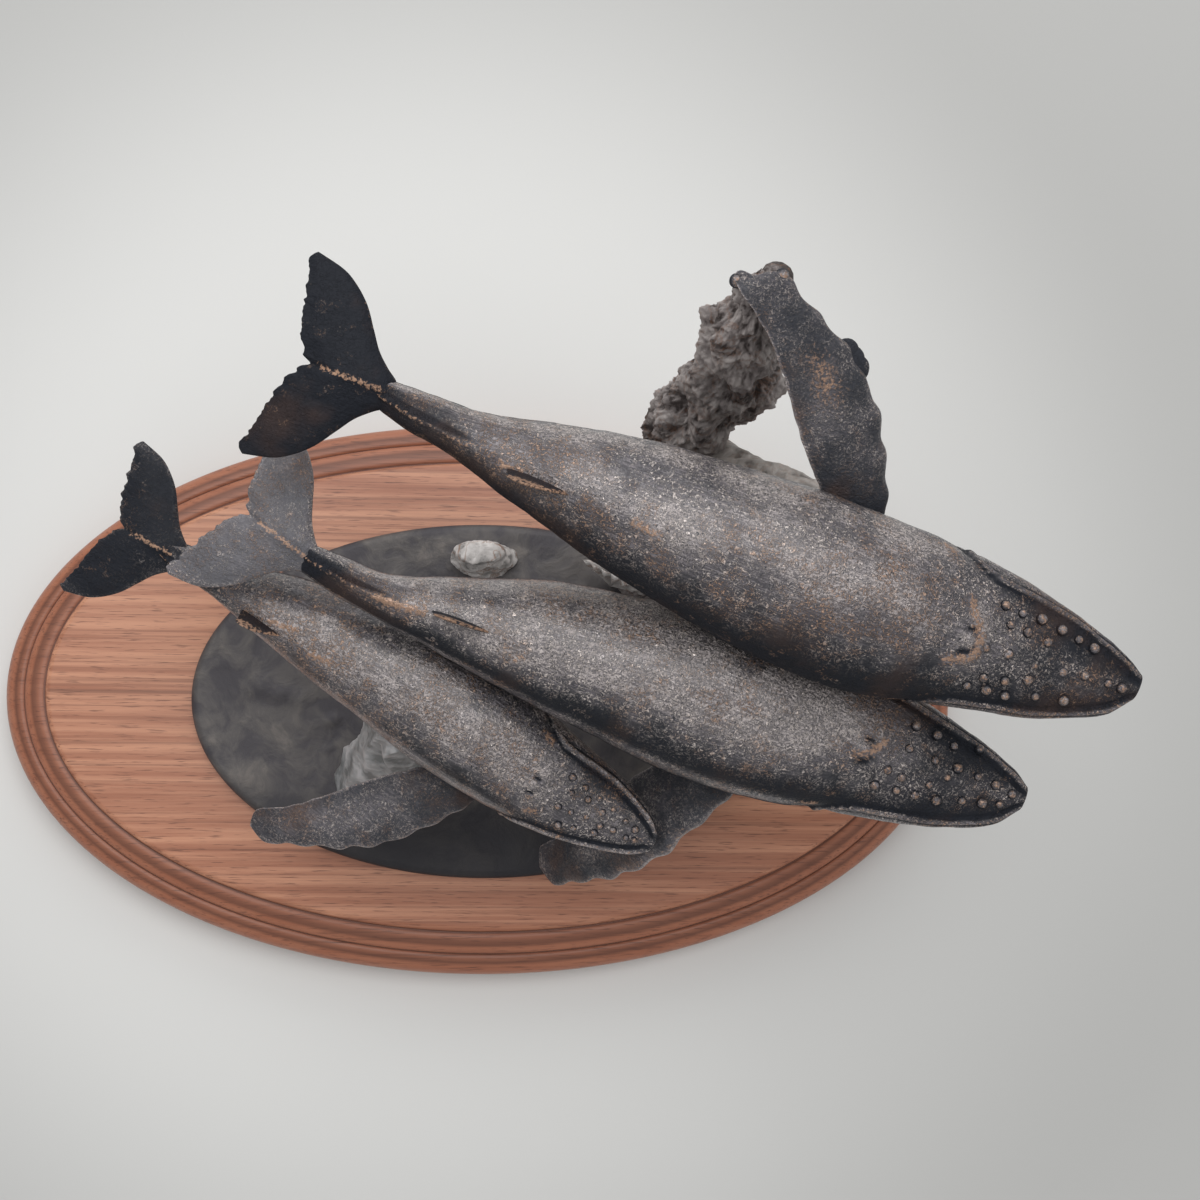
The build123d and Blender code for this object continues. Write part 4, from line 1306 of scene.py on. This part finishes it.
def make_whales() -> tuple[Whale, Whale, Whale]:
    """The large whale, the middle whale and the calf."""
    large = Whale(
        "large_whale", length=229.5, nose=(168.5, -2.9, 143.5), heading=-19.9, pitch=-1.2,
        head_bank=10.0, tail_bank=24.0, fluke_size=0.966, fluke_shift_share=-0.002,
        fluke_turn=0.0, fluke_roll=8.0, seed=3.0, head_polish_and_sheen=0.50, fluke_polish=0.25,
        painted_rim_sheen=(2.1, 0.0), painted_crest_highlight=1.0, bow_shares=(
            -0.004, -0.012, -0.015, -0.017, -0.021, -0.028, -0.027, -0.024, -0.018, -0.016,
            -0.012, -0.006, 0.002),
        tubercles=(
            (191, 36), (169, 34), (145, 36), (178, 17), (156, 16), (118, 34), (95, 31), (74, 28),
            (130, 15), (196, -16), (169, -13), (135, -14), (100, -9), (74, -4), (44, -3),
            (26, -3), (184, -45), (159, -41), (135, -30), (197, -58), (174, -56), (151, -54),
            (118, -44), (85, -37)),
        copper_lines=(
            ((232, 28), (205, -10), (205, -27), (235, -42)), ((272, 79), (262, 76)), ((266, -95),
            (252, -92)), ((757, -21), (735, -24)), ((600, -30), (575, -32))))
    middle = Whale(
        "middle_whale", length=223.0, nose=(146.5, -30.4, 117.0), heading=-18.9, pitch=-1.2,
        head_bank=6.0, tail_bank=10.0, fluke_size=0.925, fluke_shift_share=-0.007,
        fluke_turn=17.4, fluke_roll=4.0, seed=41.0, head_polish_and_sheen=0.55, fluke_polish=1.8,
        painted_rim_sheen=(2.1, 1.0), painted_crest_highlight=2.8, bow_shares=(
            -0.009, -0.015, -0.018, -0.017, -0.018, -0.021, -0.023, -0.025, -0.028, -0.035,
            -0.042, -0.034, -0.020),
        tubercles=(
            (168, 12), (132, 10), (101, 13), (110, -2), (185, -20), (165, -23), (129, -19),
            (193, -42), (165, -39), (141, -36), (113, -32), (73, 11), (48, 9), (24, 3), (82, -22),
            (57, -17), (35, -12), (168, 40), (139, 40), (114, 35), (81, 44)),
        copper_lines=(
            ((229, -16), (214, -8), (198, 11)), ((262, -87), (250, -85)), ((810, -8), (785, -9),
            (759, -9))))
    calf = Whale(
        "calf", length=172.0, nose=(47.6, -44.7, 100.5), heading=-29.7, pitch=-0.8,
        head_bank=12.0, tail_bank=38.0, fluke_size=1.10, fluke_shift_share=0.020,
        fluke_turn=-2.2, fluke_roll=8.0, seed=77.0, head_polish_and_sheen=1.00, fluke_polish=0.7,
        painted_rim_sheen=(1.6, 3.2), painted_crest_highlight=2.3, bow_shares=(
            -0.006, -0.005, -0.005, -0.006, -0.003, 0.007, 0.016, 0.019, 0.020, 0.016, 0.010,
            0.004, 0.0),
        tubercles=(
            (172, 23), (161, 2), (146, 20), (133, 6), (118, 16), (168, -27), (146, -24),
            (121, -19), (103, -1), (90, 13), (95, -20), (73, -16), (63, 6), (43, 2), (49, -16),
            (36, -13), (153, -51), (129, -44), (97, -35)),
        copper_lines=(
            ((242, 57), (230, 55)), ((206, -58), (197, -56)), ((620, -46), (590, -40)),
            ((700, -30), (660, -22))))
    return large, middle, calf


def build_whales() -> None:
    """Make every piece of the three whales."""
    large, middle, calf = make_whales()
    hidden = large.way((0.90, 0.20, 0.40))
    plans = {
        large: (
            FlipperPlan(Side.LEFT, large.place((0.380, 0.074, 0.010)),
                        Vector((64.0, 92.5, 180.0)), large.way((0.69, 0.72, -0.06)),
                        bend=-0.046, slim=0.81, blunt_share=0.20),
            FlipperPlan(Side.RIGHT, large.place((0.353, -0.088, -0.078)),
                        large.place((0.541, -0.057, -0.255)), hidden)),
        middle: (
            FlipperPlan(Side.LEFT, middle.place((0.382, 0.032, -0.084)),
                        middle.place((0.497, 0.077, -0.290)), hidden),
            FlipperPlan(Side.RIGHT, middle.place((0.366, -0.092, -0.078)),
                        middle.place((0.507, -0.290, -0.300)),
                        middle.way((0.25, -0.70, -0.05)), bend=0.08, slim=0.92,
                        round_share=FULL_ROUND)),
        calf: (
            FlipperPlan(Side.LEFT, calf.place((0.339, 0.070, -0.070)),
                        calf.place((0.545, 0.090, -0.215)), hidden),
            FlipperPlan(Side.RIGHT, calf.place((0.337, -0.082, -0.078)),
                        calf.place((0.580, -0.316, -0.166)),
                        calf.way((0.45, -0.92, -0.16)), slim=0.93, round_share=FULL_ROUND)),
    }
    for whale, fins in plans.items():
        skin = PatinatedBronze(f"patinated bronze, {whale.name}", whale.heading)
        smooth = replace(skin, name=f"{skin.name}, flippers", dark="#31333a", brown="#54433d",
                         fleck_share=0.55, fleck_size=1.0)
        tail = replace(skin, name=f"{skin.name}, flukes", fleck_share=0.35)
        if whale is middle:
            tail = replace(tail, dark="#636267", brown="#716968", fleck_share=0.6)
        whale.build_body(skin.make())
        whale.build_flukes(tail.make())
        fin_skin = smooth.make()
        for plan in fins:
            whale.build_flipper(plan, fin_skin)


def build_reef() -> None:
    """Make the rocks and the coral."""
    stone = RoughCastBronze("rough cast bronze", dark="#453d3b", middle="#8a8280",
                            pale="#b3aba8", grain=1.5, streak=7.0,
                            streak_turn=(0.0, -1.19, 1.42), relief=1.3).make()
    fold_stone = RoughCastBronze("folded cast bronze", dark="#797a7a", middle="#9b9b9c",
                                 pale="#c0bebf", vein_share=0.1, grain=4.0, relief=0.5).make()
    smooth_stone = RoughCastBronze("worn cast bronze", dark="#6a635f", middle="#98928d",
                                   pale="#b5aea9", vein_share=0.2).make()
    chalk_stone = RoughCastBronze("grey green cast bronze", dark="#8a8785", middle="#bbb6b3",
                                  pale="#d6d1ce", vein_share=0.6, relief=0.5).make()
    Rock("craggy_spire", (55.0, 31.0, 26.0), (64.0, 90.5, 177.0), 26.0, 20.0,
         ((0.00, 0.05, 0.00, 1.00, 1.05), (0.12, 0.04, 0.10, 0.93, 0.98),
          (0.26, -0.08, 0.40, 0.95, 0.90), (0.38, -0.18, 0.62, 0.98, 0.93),
          (0.48, -0.10, 0.66, 0.95, 0.96), (0.60, 0.14, 0.56, 0.97, 1.00),
          (0.74, 0.11, 0.32, 0.90, 0.95), (0.84, 0.06, 0.16, 0.72, 0.80),
          (0.92, 0.03, 0.06, 0.58, 0.62), (1.00, 0.06, 0.02, 0.40, 0.42)),
         runs=440, around=190, crag=0.34, crag_size=2.2, squash=0.35, lump=1.7, shelf=0.7,
         plate=0.62, shelf_height=22.0, hollow=(Vector((72.5, 70.0, 135.0)), 7.0),
         knob=Vector((68.6, 92.6, 174.5))).build("reef_spire", stone)
    Rock("smooth_ledge", (60.0, 64.0, 92.0), (98.0, 26.0, 134.0), 20.0, 15.0,
         ((0.00, -0.06, 0.00, 0.90, 0.90), (0.18, -0.01, 0.05, 0.92, 0.90),
          (0.40, 0.07, 0.05, 1.00, 0.95), (0.62, 0.15, 0.05, 1.00, 1.00),
          (0.82, 0.08, 0.00, 0.92, 0.92), (1.00, 0.00, 0.00, 0.80, 0.80)),
         level=False, crag=0.35, lump=0.5).build("reef_ledge", smooth_stone)
    Rock("craggy_saddle", (50.0, -3.0, 26.0), (57.0, -7.0, 106.0), 25.0, 18.0,
         ((0.00, 0.00, 0.00, 1.50, 1.30), (0.15, 0.05, 0.00, 1.15, 1.10),
          (0.40, 0.00, 0.10, 0.85, 0.90), (0.65, -0.10, 0.00, 0.80, 0.90),
          (0.85, 0.00, 0.00, 0.95, 0.95), (1.00, 0.00, 0.00, 1.00, 1.00))
         ).build("reef_saddle", stone)
    Rock("craggy_front_rock", (-31.0, -21.0, 26.0), (-25.0, -12.0, 93.0), 32.0, 24.0,
         ((0.00, 0.00, -0.32, 1.00, 1.00), (0.18, 0.02, -0.24, 0.93, 0.95),
          (0.42, 0.08, -0.12, 0.84, 0.88), (0.70, 0.14, 0.00, 0.72, 0.78),
          (1.00, 0.20, 0.06, 0.56, 0.62)),
         crag=0.22, folds=1.0, lump=0.6, rough_share=0.05).build("front_rock", fold_stone)
    Rock("craggy_back_rock", (-1.0, 42.5, 26.0), (-1.0, 42.5, 38.0), 21.0, 12.0,
         ((0.00, 0.00, 0.00, 1.00, 1.00), (0.45, -0.05, 0.00, 0.90, 0.88),
          (0.80, -0.08, 0.05, 0.74, 0.70), (1.00, -0.10, 0.00, 0.56, 0.50)),
         crag=0.3, crag_size=4.0, lump=0.5, rough_share=0.04, runs=90
         ).build("back_rock", chalk_stone)
    CoralFan().build(chalk_stone)


def dress_fittings() -> None:
    """Give the parts that keep their plain shapes their finishes."""
    steel = PlainFinish("zinc plated steel", "#9a9a9c", "#84848a", 1.5, 0.35, 1.0).make()
    bronze = PlainFinish("drawn bronze rod", "#a67c4a", "#8c6539", 1.5, 0.35, 1.0).make()
    felt = PlainFinish("wool felt", "#161817", "#222524", 0.6, 0.95, 0.0).make()
    fittings = {"felt_pad": felt, "base_screws": steel, "base_washers": steel,
                "joining_pins": bronze}
    for node, material in fittings.items():
        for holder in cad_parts[node].material_slots:
            holder.material = material
        LOG.info("%s: %s", node, material.name)


def main() -> None:
    """Build every piece of the figurine and the stage."""
    logging.basicConfig(level=logging.INFO, format="%(message)s")
    studio = Studio()
    studio.build_camera()
    studio.build_floor()
    studio.build_light()
    build_whales()
    build_reef()
    base = Base()
    base.build_board(VarnishedWalnut("varnished walnut").make())
    base.build_floor(MarbledBronze("marbled cast bronze").make())
    dress_fittings()


if __name__ == "__main__":
    main()
